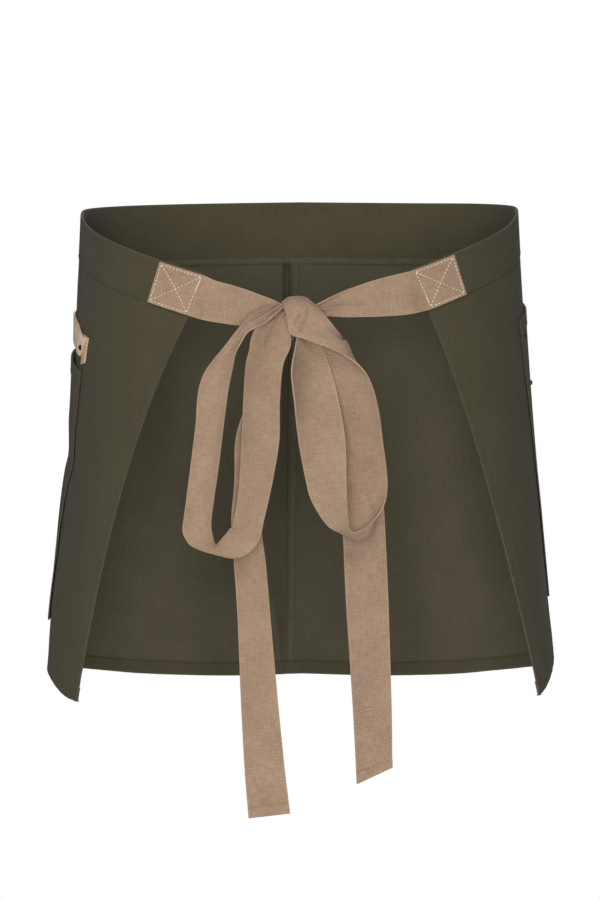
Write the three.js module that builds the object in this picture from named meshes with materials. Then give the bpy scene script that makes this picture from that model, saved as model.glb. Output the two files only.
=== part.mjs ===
// Waist apron worn open at the back: canvas band and skirt, tape bow, hip pockets and a leather loop.
// Millimetres. +Z is up, +Y is the wearer's front, +X is the wearer's right hand side.
// The origin is the middle of the waist opening, level with the top edge of the band at the sides.
import * as THREE from 'three';

// Plan outlines of the waist and of the hem, seen from above
const WAIST = { halfWidth: 181, halfDepth: 118, aside: -1, centre: 0, square: 2.3 };
const HEM = { halfWidth: 212.8, halfDepth: 142, aside: 1.3, centre: 8, square: 2.4 };

// The straight band with its turned-down lip, and how it drops towards the back
const BAND = { half: 398, height: 36, wall: 2.4, round: 0.5, lip: 16, lipOuter: -0.65, lipWall: 0.8 };
const DROP = { slope: 0.012, extraSlope: 0.27, from: 210, to: 280 };

// How high the top edge is held, by distance along the band: it hangs a little higher on the right
const TOP_RISE = [
  { along: -400, rise: 2.8 },
  { along: -200, rise: 3.6 },
  { along: 0, rise: 3.2 },
  { along: 100, rise: 4 },
  { along: 190, rise: 6 },
  { along: 310, rise: 6.2 },
  { along: 364, rise: 4.6 },
  { along: 400, rise: 2.8 },
];

// The band ends lean towards the bow: how far their top corners lean, and where the lean starts
const LEAN = { left: 3.8, right: 4.6, from: 330, run: 60 };

// Where centre front lies along the waist and hem, and how far the hem runs round to each rear corner
const TURN = { waist: -7.5, hem: -15.3, hemLeft: 379, hemRight: 364 };

// Hem height by distance round the hem from the front
const HEM_HEIGHT = [
  { round: 0, height: -405.6 },
  { round: 60, height: -407 },
  { round: 110, height: -405 },
  { round: 146, height: -402 },
  { round: 180, height: -397 },
  { round: 215, height: -391.5 },
  { round: 260, height: -387 },
  { round: 295, height: -382 },
  { round: 330, height: -386 },
  { round: 364, height: -396.8 },
  { round: 382, height: -399.5 },
];

// The hem hangs higher on the right side: how much, by distance round the hem
const HEM_RIGHT_RISE = [
  { round: 205, rise: 0 },
  { round: 232, rise: 1.5 },
  { round: 262, rise: 5 },
  { round: 295, rise: 9 },
  { round: 330, rise: 4.5 },
  { round: 364, rise: 1.2 },
];

// Rear edges swing inwards by this much half way down
const REAR_SWING = { left: 16.5, right: 10, from: 240 };

// A soft fold hangs inside, left of the centre front seam: where its crest and foot are, and its rise
const FOLD = { crest: -21, foot: -64 };
const FOLD_RISE = [
  { down: 36, rise: 0 },
  { down: 80, rise: 3 },
  { down: 150, rise: 7 },
  { down: 230, rise: 11 },
  { down: 270, rise: 23 },
  { down: 310, rise: 30 },
  { down: 350, rise: 18 },
  { down: 376, rise: 8 },
  { down: 410, rise: 1.5 },
];

const CANVAS = { inner: -0.3, outer: 0.9, hemInner: -1.5, hem: 11, step: 0.05 };
const GAP = 0.35;

// Stations along half the band: closer together where the cloth turns round the hips
const STATIONS = [
  { to: 21, count: 3 },
  { to: 64, count: 4 },
  { to: 180, count: 4 },
  { to: 340, count: 18 },
  { to: 387, count: 4 },
];
const SEAM = { from: 0.6, width: 7.4, outer: -0.65, inner: -1.45, clear: 0.5 };
const TAPE = { width: 35, wall: 1.2, spans: 2, seat: 0.55, box: { left: 36, right: 35 } };

const POCKETS = {
  left: { side: -1, front: 150, rear: 297, mouth: 118, bottom: 334, gape: 2 },
  right: { side: 1, front: 156, rear: 301, mouth: 82, bottom: 322, gape: 1 },
};
const POCKET = { wall: 1.2, hem: 12, hemWall: 2, plainFrom: 30, seatedAt: 1.95 };

const LEATHER = {
  wall: 2,
  half: 9.6,
  standOff: 0.6,
  flatEnd: 0.14,
  front: { round: -208, down: 92 },
  rear: { round: -301, down: 96 },
};
// Rivets: the piece each stands on, its share of the way along that piece, and its distance down or across
const RIVETS = {
  towel_loop_rivet_rear: { on: 'strap', along: 0.93, across: 1.5, radius: 2.4, height: 1.2 },
  towel_loop_rivet_front: { on: 'strap', along: 0.06, across: 0, radius: 2.4, height: 1.2 },
  pocket_rivet_upper: { on: 'right', along: 0.94, across: 15, radius: 2.4, height: 1.2 },
  pocket_rivet_lower: { on: 'right', along: 0.72, across: 65, radius: 2.4, height: 2.4 },
};
const KNOT = { centre: [-0.5, -134.5, -81.2], half: [11, 7, 13.8], square: 2.6 };

// Tape pieces: each row is one section, with its two edges and how far the middle bulges between them
const TAPE_COLUMNS = ['leftX', 'leftY', 'leftZ', 'rightX', 'rightY', 'rightZ', 'bulge'];
const TAPES = {
  bow_loop_left: [
    [-16.5, -139, -67.5, -14.5, -141, -70.5, 0],
    [-24.5, -145, -70, -21.5, -149, -76.5, 1],
    [-33.5, -149, -73, -29.5, -155, -83, 2],
    [-44, -153, -80, -36, -160, -85.5, 2],
    [-53, -154.5, -90.5, -43, -160.5, -89.5, 2],
    [-62, -154.5, -102, -48.5, -161, -98.5, 2.5],
    [-72.5, -154, -115, -52.5, -160.5, -106.5, 3],
    [-78.5, -154, -124.5, -55, -160, -118.5, 3.5],
    [-83, -154, -140, -58.5, -159.5, -136, 3.5],
    [-85, -154, -166, -62, -159.5, -162, 3.5],
    [-89.5, -154, -202.5, -66.5, -159.5, -198.5, 3.5],
    [-94, -154, -237, -71.5, -159, -233.5, 3.5],
    [-95.5, -153.5, -250.5, -72.5, -158, -246.5, 3],
    [-92.5, -152.5, -258.5, -71, -156.5, -254.5, 2],
    [-88.5, -151.5, -263, -70, -153.5, -259, 0.5],
    [-79, -150.5, -267.5, -69, -150.5, -261, 0],
    [-67, -149.5, -271, -68, -147.5, -261.5, 0],
    [-55, -148.5, -273.5, -66, -145, -260, 0],
    [-44.5, -147.5, -271, -63.5, -142.5, -257.5, 0],
    [-36.5, -146.5, -263.5, -60, -140.5, -253.5, 0],
    [-32.5, -145.5, -255.5, -57.5, -138.5, -250.5, 0],
    [-30, -144, -243.5, -55.5, -136.5, -248.5, 0],
    [-26, -143, -226.5, -51.5, -134, -228.5, 0],
    [-22, -143, -206.5, -49.5, -131.5, -208, 0],
    [-17.5, -142, -178, -48, -129, -179.5, 0],
    [-17, -142, -146, -46.5, -127, -147, 0],
    [-14.5, -142, -118.5, -44.7, -129, -119, 0],
    [-9, -142, -104.5, -41.7, -131, -106.5, -1],
    [-8, -142, -96.5, -40, -133, -96, -1],
    [-9.5, -141, -87.5, -34, -135, -84.5, -1],
    [-11, -140, -79.5, -21, -136, -78, -1],
    [-11, -138, -76, -13.5, -136, -74.5, 0],
  ],
  bow_loop_right: [
    [7.5, -121, -77.5, -14, -121, -77.5, 0],
    [8, -127.5, -68.2, -15.5, -127.5, -68.7, 4],
    [9.5, -139, -68, -14.5, -139, -68.5, 5],
    [15.5, -146, -73.5, -11.5, -147, -77.5, 4],
    [21.5, -147, -80, -8.5, -151, -91.5, 3],
    [27.3, -146, -87.5, 3, -153, -96, 3],
    [33, -141.5, -96, 17.5, -154, -101.5, 3.5],
    [27, -134, -99, 31.5, -154, -107, 6.5],
    [18.5, -132, -104, 44, -153, -115, 7],
    [18, -132.5, -112, 49.5, -151.5, -120.5, 5],
    [20, -132.5, -120, 54, -150, -127, 3.5],
    [25, -132, -132, 59, -148.5, -139.5, 2.5],
    [29.5, -130, -150, 63, -147.5, -157.5, 2],
    [33.5, -127, -178.5, 65.5, -147, -177.5, 2],
    [35, -129.5, -205.5, 69, -146, -203.5, 2],
    [34.5, -132, -225.5, 69.5, -146, -217.5, 3],
    [36, -135, -242.5, 67.5, -147, -228, 5],
    [41.5, -137.5, -253.5, 63, -149, -237, 6],
    [48.5, -140, -259, 56.5, -152, -244, 5],
    [45, -143.5, -259.3, 49, -156, -249, 3],
    [38.5, -147, -256.5, 43.5, -159, -251.5, 1],
    [31.5, -150, -252.5, 39, -161, -249, 0],
    [20.5, -153, -245.5, 38, -161.5, -240, -1],
    [8.5, -155, -226.5, 37, -161, -224, -2],
    [3.5, -156.5, -208.5, 36.5, -160, -206, -2],
    [-2, -160.5, -177.5, 35.5, -154, -175, -4],
    [-5, -164.5, -147, 30, -142.5, -144.5, -6],
    [-7.5, -164.5, -121, 23.5, -138.5, -120.5, -5.5],
    [-4.5, -156.5, -102, 17.5, -139, -104, -3],
    [-3.5, -148, -92.5, 11.5, -140.5, -94, -1],
    [-5.5, -142.5, -84.5, 5.5, -144.5, -84.5, 0],
  ],
  tie_tail_left: [
    [-15, -131, -92.3, -5.2, -130.3, -93.2, 0],
    [-31.5, -125, -116.5, -14, -116, -117, 1],
    [-43, -122, -147.5, -20.5, -111, -148.5, 1],
    [-53, -120.5, -178.5, -25, -110.5, -179.5, 1],
    [-54, -121.5, -212.5, -29.5, -113, -214, 1],
    [-56.5, -124.5, -240.5, -32, -117, -240.5, 1],
    [-56, -126, -257.5, -31.5, -119, -259, 1],
    [-54.5, -126, -279.5, -28.5, -119.5, -281.5, 1],
    [-51.5, -124, -327, -24.5, -118, -328.5, 1],
    [-49, -121, -392.5, -19, -116.5, -391.5, 1],
    [-46, -118, -450.5, -13.5, -116, -447.5, 1],
    [-43, -118, -489, -9, -118, -485, 0],
  ],
  tie_tail_right: [
    [-1, -130.5, -94.5, 9.5, -131.5, -94, 0],
    [7.5, -119, -117, 31.5, -117.5, -115, 1],
    [19.5, -119.5, -147.5, 49.5, -114, -146, 1],
    [28.5, -119.5, -188.5, 60, -111, -186.5, 1],
    [32.5, -119.5, -229, 66.5, -110, -227.5, 1],
    [34.5, -119.5, -266, 69, -109.5, -265.5, 1],
    [36.5, -119, -311, 71, -109, -309, 1],
    [39.5, -118.5, -356, 72.5, -109, -353.5, 1],
    [42.5, -118, -401.5, 74, -109, -398, 1],
    [44.5, -117.5, -438.5, 74.5, -109, -432, 1],
    [45.5, -116.5, -461, 74.5, -109.5, -448.5, 0],
  ],
  tie_strap_left: [
    [-69, -115, -51, -78.5, -115, -83, 0],
    [-53.5, -119, -55, -62.5, -118, -85.5, 0],
    [-39.5, -123, -59.5, -47, -121, -87, 0],
    [-28.5, -126, -63.5, -33, -125, -84.5, 1],
    [-20, -129, -67, -22.5, -128, -81.5, 1],
    [-11.5, -132, -71.5, -12, -132, -77.5, 0],
  ],
  tie_strap_right: [
    [79.5, -114, -45.5, 89, -114, -78, 0],
    [66.5, -117, -48.5, 72, -117, -79.5, 0],
    [51, -120, -53, 53.5, -120, -80, 0],
    [37, -123, -58, 35.5, -123, -80, 1],
    [26, -126, -63, 24, -126, -79, 1],
    [16, -129, -68, 15.5, -129, -78.5, 1],
    [10.5, -132, -70.5, 10.5, -132, -77.5, 0],
  ],
};

// Colours
const COLOURS = { canvas: 0x4a4638, tape: 0xa78d74, leather: 0xb79a80, metal: 0x8a5a3c };

const clamp01 = (x) => Math.min(1, Math.max(0, x));
const smooth = (x) => x * x * (3 - 2 * x);
const mix = (a, b, t) => a.map((x, i) => x + (b[i] - x) * t);
const add = (a, b, k) => a.map((x, i) => x + k * b[i]);
const minus = (a, b) => a.map((x, i) => x - b[i]);
const cross = (a, b) => [a[1] * b[2] - a[2] * b[1], a[2] * b[0] - a[0] * b[2], a[0] * b[1] - a[1] * b[0]];
const size = (a) => Math.hypot(...a);
const unit = (a) => a.map((x) => x / size(a));
const steps = (from, to, count) =>
  Array.from({ length: count + 1 }, (_, i) => from + ((to - from) * i) / count);

// A rounded-rectangle outline as a function of the distance walked round it from the front
function oval({ halfWidth, halfDepth, aside, centre, square }) {
  const count = 1440;
  const power = 2 / square;
  const walk = [];
  let round = 0;
  for (let i = 0; i <= count; i += 1) {
    const turn = (Math.PI * i) / count;
    const x = halfWidth * Math.abs(Math.sin(turn)) ** power;
    const y = centre + halfDepth * Math.sign(Math.cos(turn)) * Math.abs(Math.cos(turn)) ** power;
    if (i > 0) round += Math.hypot(x - walk[i - 1].x, y - walk[i - 1].y);
    walk.push({ round, x, y });
  }
  return (at) => {
    const target = Math.abs(at);
    let low = 0;
    let high = count;
    while (high - low > 1) {
      const middle = (low + high) >> 1;
      if (walk[middle].round > target) high = middle;
      else low = middle;
    }
    const a = walk[low];
    const b = walk[high];
    const t = (target - a.round) / (b.round - a.round);
    return [aside + Math.sign(at) * (a.x + (b.x - a.x) * t), a.y + (b.y - a.y) * t];
  };
}
const waistPlan = oval(WAIST);
const hemPlan = oval(HEM);

// A smooth curve through the rows of a table, from one of its columns to another
function readTable(rows, from, to, at) {
  const last = rows.length - 1;
  const slopeAt = (i) => {
    const a = rows[Math.max(i - 1, 0)];
    const b = rows[Math.min(i + 1, last)];
    return (b[to] - a[to]) / (b[from] - a[from]);
  };
  let i = 0;
  while (i < last - 1 && rows[i + 1][from] < at) i += 1;
  const a = rows[i];
  const b = rows[i + 1];
  const span = b[from] - a[from];
  const t = clamp01((at - a[from]) / span);
  const t2 = t * t;
  const t3 = t2 * t;
  const level = (2 * t3 - 3 * t2 + 1) * a[to] + (3 * t2 - 2 * t3) * b[to];
  return level + span * ((t3 - 2 * t2 + t) * slopeAt(i) + (t3 - t2) * slopeAt(i + 1));
}

function bandDrop(round) {
  const run = DROP.to - DROP.from;
  const t = Math.max(0, (round - DROP.from) / run);
  const eased = t < 1 ? t ** 3 - t ** 4 / 2 : t - 0.5;
  return DROP.extraSlope * run * eased + DROP.slope * round;
}

function waistPoint(u) {
  const at = u + TURN.waist;
  const [x, y] = waistPlan(at);
  return [x, y, readTable(TOP_RISE, 'along', 'rise', u) - bandDrop(Math.abs(at))];
}

function hemPoint(u) {
  const t = Math.abs(u) / BAND.half;
  const end = u < 0 ? -TURN.hemLeft : TURN.hemRight;
  const at = end * t + TURN.hem * (1 - t);
  const [x, y] = hemPlan(at);
  const raised = at > 0 ? readTable(HEM_RIGHT_RISE, 'round', 'rise', at) : 0;
  return [x, y, readTable(HEM_HEIGHT, 'round', 'height', Math.abs(at)) + raised];
}

const fall = (u) => size(minus(hemPoint(u), waistPoint(u)));

// How far the fold stands inwards from the hanging cloth
function foldRise(u, v) {
  const up = smooth(clamp01(u / FOLD.crest));
  const down = smooth(clamp01((FOLD.foot - u) / (FOLD.foot - FOLD.crest)));
  return readTable(FOLD_RISE, 'down', 'rise', v) * Math.min(up, down);
}

// Distance along the band of a point at station u, with the lean of the band ends
function leanTo(u, v) {
  const lean = (u < 0 ? LEAN.left : LEAN.right) * clamp01(1 - v / BAND.height);
  return u + Math.sign(u) * lean * smooth(clamp01((Math.abs(u) - LEAN.from) / LEAN.run));
}

// The cloth surface: u is the distance along the band from centre front, v is down from its top edge
function cloth(station, v) {
  const u = leanTo(station, v);
  const below = clamp01((v - BAND.height) / (fall(u) - BAND.height));
  const near = clamp01((Math.abs(u) - REAR_SWING.from) / (BAND.half - REAR_SWING.from));
  const swing = (u < 0 ? REAR_SWING.left : REAR_SWING.right) * 4 * below * (1 - below) * near * near;
  const across = u - Math.sign(u) * swing;
  const top = waistPoint(across);
  const foot = hemPoint(across);
  const hanging = add(top, unit(minus(foot, top)), (v * size(minus(foot, top))) / fall(u));
  return add(hanging, [0, -1, 0], foldRise(u, v));
}

// Outward direction of the cloth surface
function outward(u, v) {
  const h = 0.5;
  const along = minus(cloth(u + h, v), cloth(u - h, v));
  const down = minus(cloth(u, v + h), cloth(u, v - h));
  return unit(cross(along, down));
}

const onCloth = (u, v, off) => add(cloth(u, v), outward(u, v), off);

function meshOf(name, points, triangles, colour) {
  let volume = 0;
  for (const [a, b, c] of triangles) {
    const n = cross(points[b], points[c]);
    volume += points[a][0] * n[0] + points[a][1] * n[1] + points[a][2] * n[2];
  }
  const faces = volume < 0 ? triangles.map(([a, b, c]) => [a, c, b]) : triangles;
  const geometry = new THREE.BufferGeometry();
  geometry.setAttribute('position', new THREE.Float32BufferAttribute(points.flat(), 3));
  geometry.setIndex(faces.flat());
  geometry.computeVertexNormals();
  const mesh = new THREE.Mesh(geometry, new THREE.MeshStandardMaterial({ color: colour, roughness: 0.9 }));
  mesh.name = name;
  return mesh;
}

// A closed wall between two grids of points that have the same rows and columns
function wall(name, outer, inner, colour) {
  const rows = outer.length;
  const columns = outer[0].length;
  const points = [...outer.flat(), ...inner.flat()];
  const front = (i, j) => i * columns + j;
  const back = (i, j) => rows * columns + front(i, j);
  const triangles = [];
  const quad = (a, b, c, d) => triangles.push([a, b, c], [a, c, d]);
  for (let i = 0; i + 1 < rows; i += 1) {
    for (let j = 0; j + 1 < columns; j += 1) {
      quad(front(i, j), front(i, j + 1), front(i + 1, j + 1), front(i + 1, j));
      quad(back(i, j), back(i + 1, j), back(i + 1, j + 1), back(i, j + 1));
    }
    quad(front(i, 0), front(i + 1, 0), back(i + 1, 0), back(i, 0));
    quad(front(i + 1, columns - 1), front(i, columns - 1), back(i, columns - 1), back(i + 1, columns - 1));
  }
  for (let j = 0; j + 1 < columns; j += 1) {
    quad(front(0, j + 1), front(0, j), back(0, j), back(0, j + 1));
    quad(front(rows - 1, j), front(rows - 1, j + 1), back(rows - 1, j + 1), back(rows - 1, j));
  }
  return meshOf(name, points, triangles, colour);
}

// Distances along half the band, from the centre front seam to the rear edge
function stationsFrom(start) {
  const stations = [start];
  for (const { to, count } of STATIONS) {
    stations.push(...steps(stations[stations.length - 1], to, count).slice(1));
  }
  return [...stations, STATIONS[STATIONS.length - 1].to + CANVAS.step, BAND.half];
}

// The doubled band, with its seam allowance turned down inside as a thin lip
function waistband() {
  const half = BAND.wall / 2;
  const sections = [
    { down: 0, outer: half - BAND.round, inner: BAND.round - half },
    { down: 2 * BAND.round, outer: half, inner: -half },
    { down: BAND.height, outer: half, inner: -half },
    { down: BAND.height + CANVAS.step, outer: BAND.lipOuter, inner: -half },
    { down: BAND.height + BAND.lip, outer: BAND.lipOuter, inner: BAND.lipOuter - BAND.lipWall },
  ];
  const oneSide = stationsFrom(GAP / 2);
  const stations = [...oneSide.map((u) => -u).reverse(), ...oneSide];
  const grid = (side) => stations.map((u) => sections.map((s) => onCloth(u, s.down, s[side])));
  return wall('waistband', grid('outer'), grid('inner'), COLOURS.canvas);
}

// One skirt panel, thicker inside along its bottom hem and its rear hem
function skirt(name, side) {
  const rearHem = BAND.half - CANVAS.hem;
  const across = stationsFrom(GAP / 2).map((u) => side * u);
  const lipEnd = BAND.height + BAND.lip + GAP;
  const downAt = (u) => {
    const end = fall(u);
    const top = BAND.height + GAP + CANVAS.step;
    const open = steps(lipEnd + CANVAS.step, end - CANVAS.hem, 6);
    return [top, lipEnd, ...open, end - CANVAS.hem + CANVAS.step, end];
  };
  const innerOff = (u, i, count) => {
    const inHem = i >= count - 2 || Math.abs(u) > rearHem;
    const underLip = i < 2;
    return inHem && !underLip ? CANVAS.hemInner : CANVAS.inner;
  };
  const outer = across.map((u) => downAt(u).map((v) => onCloth(u, v, CANVAS.outer)));
  const inner = across.map((u) => {
    const downs = downAt(u);
    return downs.map((v, i) => onCloth(u, v, innerOff(u, i, downs.length)));
  });
  return wall(name, outer, inner, COLOURS.canvas);
}

// Overlocked allowance of the centre front seam, pressed to one side inside
function centreSeam() {
  const top = BAND.height + BAND.lip + SEAM.clear;
  const bottom = fall(0) - CANVAS.hem - SEAM.clear;
  const stations = steps(top, bottom, 10);
  const across = steps(SEAM.from, SEAM.width, 2);
  const grid = (off) => stations.map((v) => across.map((u) => onCloth(u, v, off)));
  return wall('centre_seam', grid(SEAM.outer), grid(SEAM.inner), COLOURS.canvas);
}

// Middle of the wall of a pocket: s runs from its front edge to its rear edge, d down from its mouth
function pocketPoint({ side, front, rear, mouth, bottom, gape }, s, d, off) {
  const stand = gape * (1 - (2 * s - 1) ** 8) * (1 - d / (bottom - mouth)) ** 1.6;
  return onCloth(side * (front + (rear - front) * s), mouth + d, POCKET.seatedAt + stand + off);
}

// A patch pocket that stands away from the cloth at its mouth
function pocket(name, spec) {
  const half = POCKET.wall / 2;
  const plain = steps(POCKET.plainFrom, spec.bottom - spec.mouth, 6);
  const downs = [0, POCKET.hem, POCKET.hem + CANVAS.step, ...plain];
  const acrosses = steps(0, 1, 15);
  const turned = POCKET.hemWall - POCKET.wall;
  const thick = (i) => half + (i < 2 ? turned : 0);
  const outer = downs.map((d, i) => acrosses.map((s) => pocketPoint(spec, s, d, thick(i))));
  const inner = downs.map((d) => acrosses.map((s) => pocketPoint(spec, s, d, -half)));
  return wall(name, outer, inner, COLOURS.canvas);
}

// Underside of the leather strap: s runs from its front end to its rear end, a across its width
function strapPoint(s, a, off) {
  const { front, rear } = LEATHER;
  const u = front.round + (rear.round - front.round) * s;
  const v = front.down + (rear.down - front.down) * s + a;
  const t = clamp01((s - LEATHER.flatEnd) / (1 - 2 * LEATHER.flatEnd));
  const rise = LEATHER.standOff * Math.sin(Math.PI * t) ** 1.2;
  return onCloth(u, v, CANVAS.outer + GAP + rise + off);
}

// The leather strap, riveted at both ends and standing away from the cloth between them
function towelLoop() {
  const stations = steps(0, 1, 16);
  const across = steps(-LEATHER.half, LEATHER.half, 2);
  const grid = (off) => stations.map((s) => across.map((a) => strapPoint(s, a, off)));
  return wall('towel_loop', grid(LEATHER.wall), grid(0), COLOURS.leather);
}

// Outer face of the piece that a rivet stands on
function rivetSeat(on, along, across) {
  if (on === 'strap') return strapPoint(along, across, LEATHER.wall);
  const turned = across < POCKET.hem ? POCKET.hemWall - POCKET.wall : 0;
  return pocketPoint(POCKETS[on], along, across, POCKET.wall / 2 + turned);
}

// A domed rivet head
function rivet(name, { on, along, across, radius, height }) {
  const count = 16;
  const profile = [
    [1, 0],
    [1, 0.45],
    [0.86, 0.78],
    [0.5, 0.96],
  ];
  const seat = rivetSeat(on, along, across);
  const run = minus(rivetSeat(on, along + 0.01, across), rivetSeat(on, along - 0.01, across));
  const drop = minus(rivetSeat(on, along, across + 1), rivetSeat(on, along, across - 1));
  const facing = unit(cross(run, drop));
  const axis = seat[0] * facing[0] < 0 ? facing.map((x) => -x) : facing;
  const side = unit(run);
  const up = cross(axis, side);
  const base = add(seat, axis, GAP);
  const points = [base];
  for (const [r, h] of profile) {
    for (let i = 0; i < count; i += 1) {
      const a = (2 * Math.PI * i) / count;
      const rim = add(add(base, side, radius * r * Math.cos(a)), up, radius * r * Math.sin(a));
      points.push(add(rim, axis, height * h));
    }
  }
  points.push(add(base, axis, height));
  const ring = (k, i) => 1 + k * count + (i % count);
  const tip = points.length - 1;
  const triangles = [];
  for (let i = 0; i < count; i += 1) {
    triangles.push([0, ring(0, i + 1), ring(0, i)]);
    for (let k = 0; k + 1 < profile.length; k += 1) {
      triangles.push([ring(k, i), ring(k, i + 1), ring(k + 1, i + 1)]);
      triangles.push([ring(k, i), ring(k + 1, i + 1), ring(k + 1, i)]);
    }
    triangles.push([ring(profile.length - 1, i), ring(profile.length - 1, i + 1), tip]);
  }
  return meshOf(name, points, triangles, COLOURS.metal);
}

const edgeOf = (section, edge) => ['X', 'Y', 'Z'].map((axis) => section[TAPE_COLUMNS.indexOf(edge + axis)]);
const bulgeOf = (section) => section[TAPE_COLUMNS.indexOf('bulge')];

// Sections of a tape, smoothed through its table rows
function tapeSections(rows, perRow) {
  const sections = [];
  const last = rows.length - 1;
  for (let i = 0; i < last; i += 1) {
    const [p0, p1, p2, p3] = [i - 1, i, i + 1, i + 2].map((k) => rows[Math.min(last, Math.max(0, k))]);
    for (let k = 0; k < perRow; k += 1) {
      const t = k / perRow;
      sections.push(
        p1.map((x, c) => {
          const a = (p2[c] - p0[c]) * t;
          const b = (2 * p0[c] - 5 * x + 4 * p2[c] - p3[c]) * t * t;
          const d = (3 * x - p0[c] - 3 * p2[c] + p3[c]) * t ** 3;
          return x + (a + b + d) / 2;
        }),
      );
    }
  }
  sections.push(rows[last]);
  return sections;
}

// A tape of even thickness through its sections
function tape(name, rows, perRow) {
  const sections = tapeSections(rows, perRow);
  const across = steps(0, 1, TAPE.spans);
  const lefts = sections.map((section) => edgeOf(section, 'left'));
  const rights = sections.map((section) => edgeOf(section, 'right'));
  const middle = lefts.map((left, i) => mix(left, rights[i], 0.5));
  const surface = sections.map((section, i) => {
    const before = middle[Math.max(i - 1, 0)];
    const after = middle[Math.min(i + 1, middle.length - 1)];
    const face = unit(cross(minus(rights[i], lefts[i]), minus(after, before)));
    const bulge = bulgeOf(section);
    return across.map((t) => add(mix(lefts[i], rights[i], t), face, bulge * 4 * t * (1 - t)));
  });
  const faceAt = (i, j) => {
    const along = minus(surface[Math.min(i + 1, surface.length - 1)][j], surface[Math.max(i - 1, 0)][j]);
    const over = minus(surface[i][Math.min(j + 1, across.length - 1)], surface[i][Math.max(j - 1, 0)]);
    return unit(cross(over, along));
  };
  const grid = (off) => surface.map((row, i) => row.map((p, j) => add(p, faceAt(i, j), off)));
  return wall(name, grid(TAPE.wall / 2), grid(-TAPE.wall / 2), COLOURS.tape);
}

// The strap starts as a stitched square lying on the band end and runs on to the knot
function strap(name, side) {
  const off = BAND.wall / 2 + TAPE.seat + TAPE.wall / 2;
  const edge = (BAND.height - TAPE.width) / 2;
  const box = side < 0 ? TAPE.box.left : TAPE.box.right;
  const square = steps(BAND.half - box, BAND.half, 3).map((u) => [
    ...onCloth(side * u, edge, off),
    ...onCloth(side * u, BAND.height - edge, off),
    0,
  ]);
  return tape(name, [...square, ...TAPES[name]], 2);
}

// The turns of tape inside the knot, as one rounded lump
function knot() {
  const { centre, half, square } = KNOT;
  const power = 2 / square;
  const bent = (x) => Math.sign(x) * Math.abs(x) ** power;
  const turns = 16;
  const levels = 8;
  const points = [add(centre, [0, 0, half[2]], 1)];
  for (let k = 1; k < levels; k += 1) {
    const tilt = (Math.PI * k) / levels;
    for (let i = 0; i < turns; i += 1) {
      const a = (2 * Math.PI * i) / turns;
      const flat = bent(Math.sin(tilt));
      points.push([
        centre[0] + half[0] * flat * bent(Math.cos(a)),
        centre[1] + half[1] * flat * bent(Math.sin(a)),
        centre[2] + half[2] * bent(Math.cos(tilt)),
      ]);
    }
  }
  points.push(add(centre, [0, 0, -half[2]], 1));
  const ring = (k, i) => 1 + k * turns + (i % turns);
  const tip = points.length - 1;
  const triangles = [];
  for (let i = 0; i < turns; i += 1) {
    triangles.push([0, ring(0, i), ring(0, i + 1)]);
    for (let k = 0; k + 2 < levels; k += 1) {
      triangles.push([ring(k, i), ring(k + 1, i), ring(k + 1, i + 1)]);
      triangles.push([ring(k, i), ring(k + 1, i + 1), ring(k, i + 1)]);
    }
    triangles.push([ring(levels - 2, i), tip, ring(levels - 2, i + 1)]);
  }
  return meshOf('bow_knot', points, triangles, COLOURS.tape);
}

const apron = new THREE.Group();
apron.name = 'waist_apron';
apron.add(waistband());
apron.add(skirt('skirt_left', -1));
apron.add(skirt('skirt_right', 1));
apron.add(centreSeam());
apron.add(strap('tie_strap_left', -1));
apron.add(strap('tie_strap_right', 1));
apron.add(knot());
for (const name of ['bow_loop_left', 'bow_loop_right', 'tie_tail_left', 'tie_tail_right']) {
  apron.add(tape(name, TAPES[name], 2));
}
apron.add(pocket('pocket_left', POCKETS.left));
apron.add(pocket('pocket_right', POCKETS.right));
apron.add(towelLoop());
for (const [name, spec] of Object.entries(RIVETS)) apron.add(rivet(name, spec));

export default apron;
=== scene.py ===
# Waist apron of dark olive canvas, seen from behind, tied with a bow of tan twill tape.
# The frame is in metres. Shapes are worked out here in millimetres and scaled once, as they are made.
import math

import bmesh
import bpy
import numpy as np
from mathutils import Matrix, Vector


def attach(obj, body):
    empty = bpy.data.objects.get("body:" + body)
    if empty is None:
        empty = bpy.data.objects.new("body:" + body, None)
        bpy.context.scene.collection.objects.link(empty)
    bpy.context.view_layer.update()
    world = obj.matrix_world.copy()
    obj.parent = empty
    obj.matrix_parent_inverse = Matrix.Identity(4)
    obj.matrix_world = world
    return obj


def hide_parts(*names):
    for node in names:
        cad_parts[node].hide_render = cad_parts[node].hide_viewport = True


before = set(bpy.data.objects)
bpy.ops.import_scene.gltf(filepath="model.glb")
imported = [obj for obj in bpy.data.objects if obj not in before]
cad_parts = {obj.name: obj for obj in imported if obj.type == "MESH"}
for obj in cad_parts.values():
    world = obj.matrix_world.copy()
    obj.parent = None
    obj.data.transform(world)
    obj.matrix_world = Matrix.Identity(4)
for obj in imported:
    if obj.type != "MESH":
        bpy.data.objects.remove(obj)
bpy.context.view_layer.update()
MM = 0.001

# Cloth surface

# Plan outlines of the waist and of the hem: half width, half depth, centre across and along, squareness
WAIST = (181, 118, -1, 0, 2.3)
HEM = (212.8, 142, 1.3, 8, 2.4)
OUTLINE_STEPS = 1440
BAND_HALF = 398
BAND_HEIGHT = 36
BAND_LIP = 16
# The top edge drops towards the back: its slope, the extra slope near the back, and where that eases in
DROP_SLOPE, DROP_EXTRA, DROP_FROM, DROP_TO = 0.012, 0.27, 210, 280
# How high the top edge is held, by distance along the band: it hangs a little higher on the right
TOP_RISE = [(-400, 2.8), (-200, 3.6), (0, 3.2), (100, 4), (190, 6), (310, 6.2), (364, 4.6), (400, 2.8)]
# Centre front lies a little left of the middle of the waist and of the hem
TURN_WAIST, TURN_HEM = -7.5, -15.3
# How far round the hem the two rear edges lie
HEM_LEFT, HEM_RIGHT = 379, 364
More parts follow.
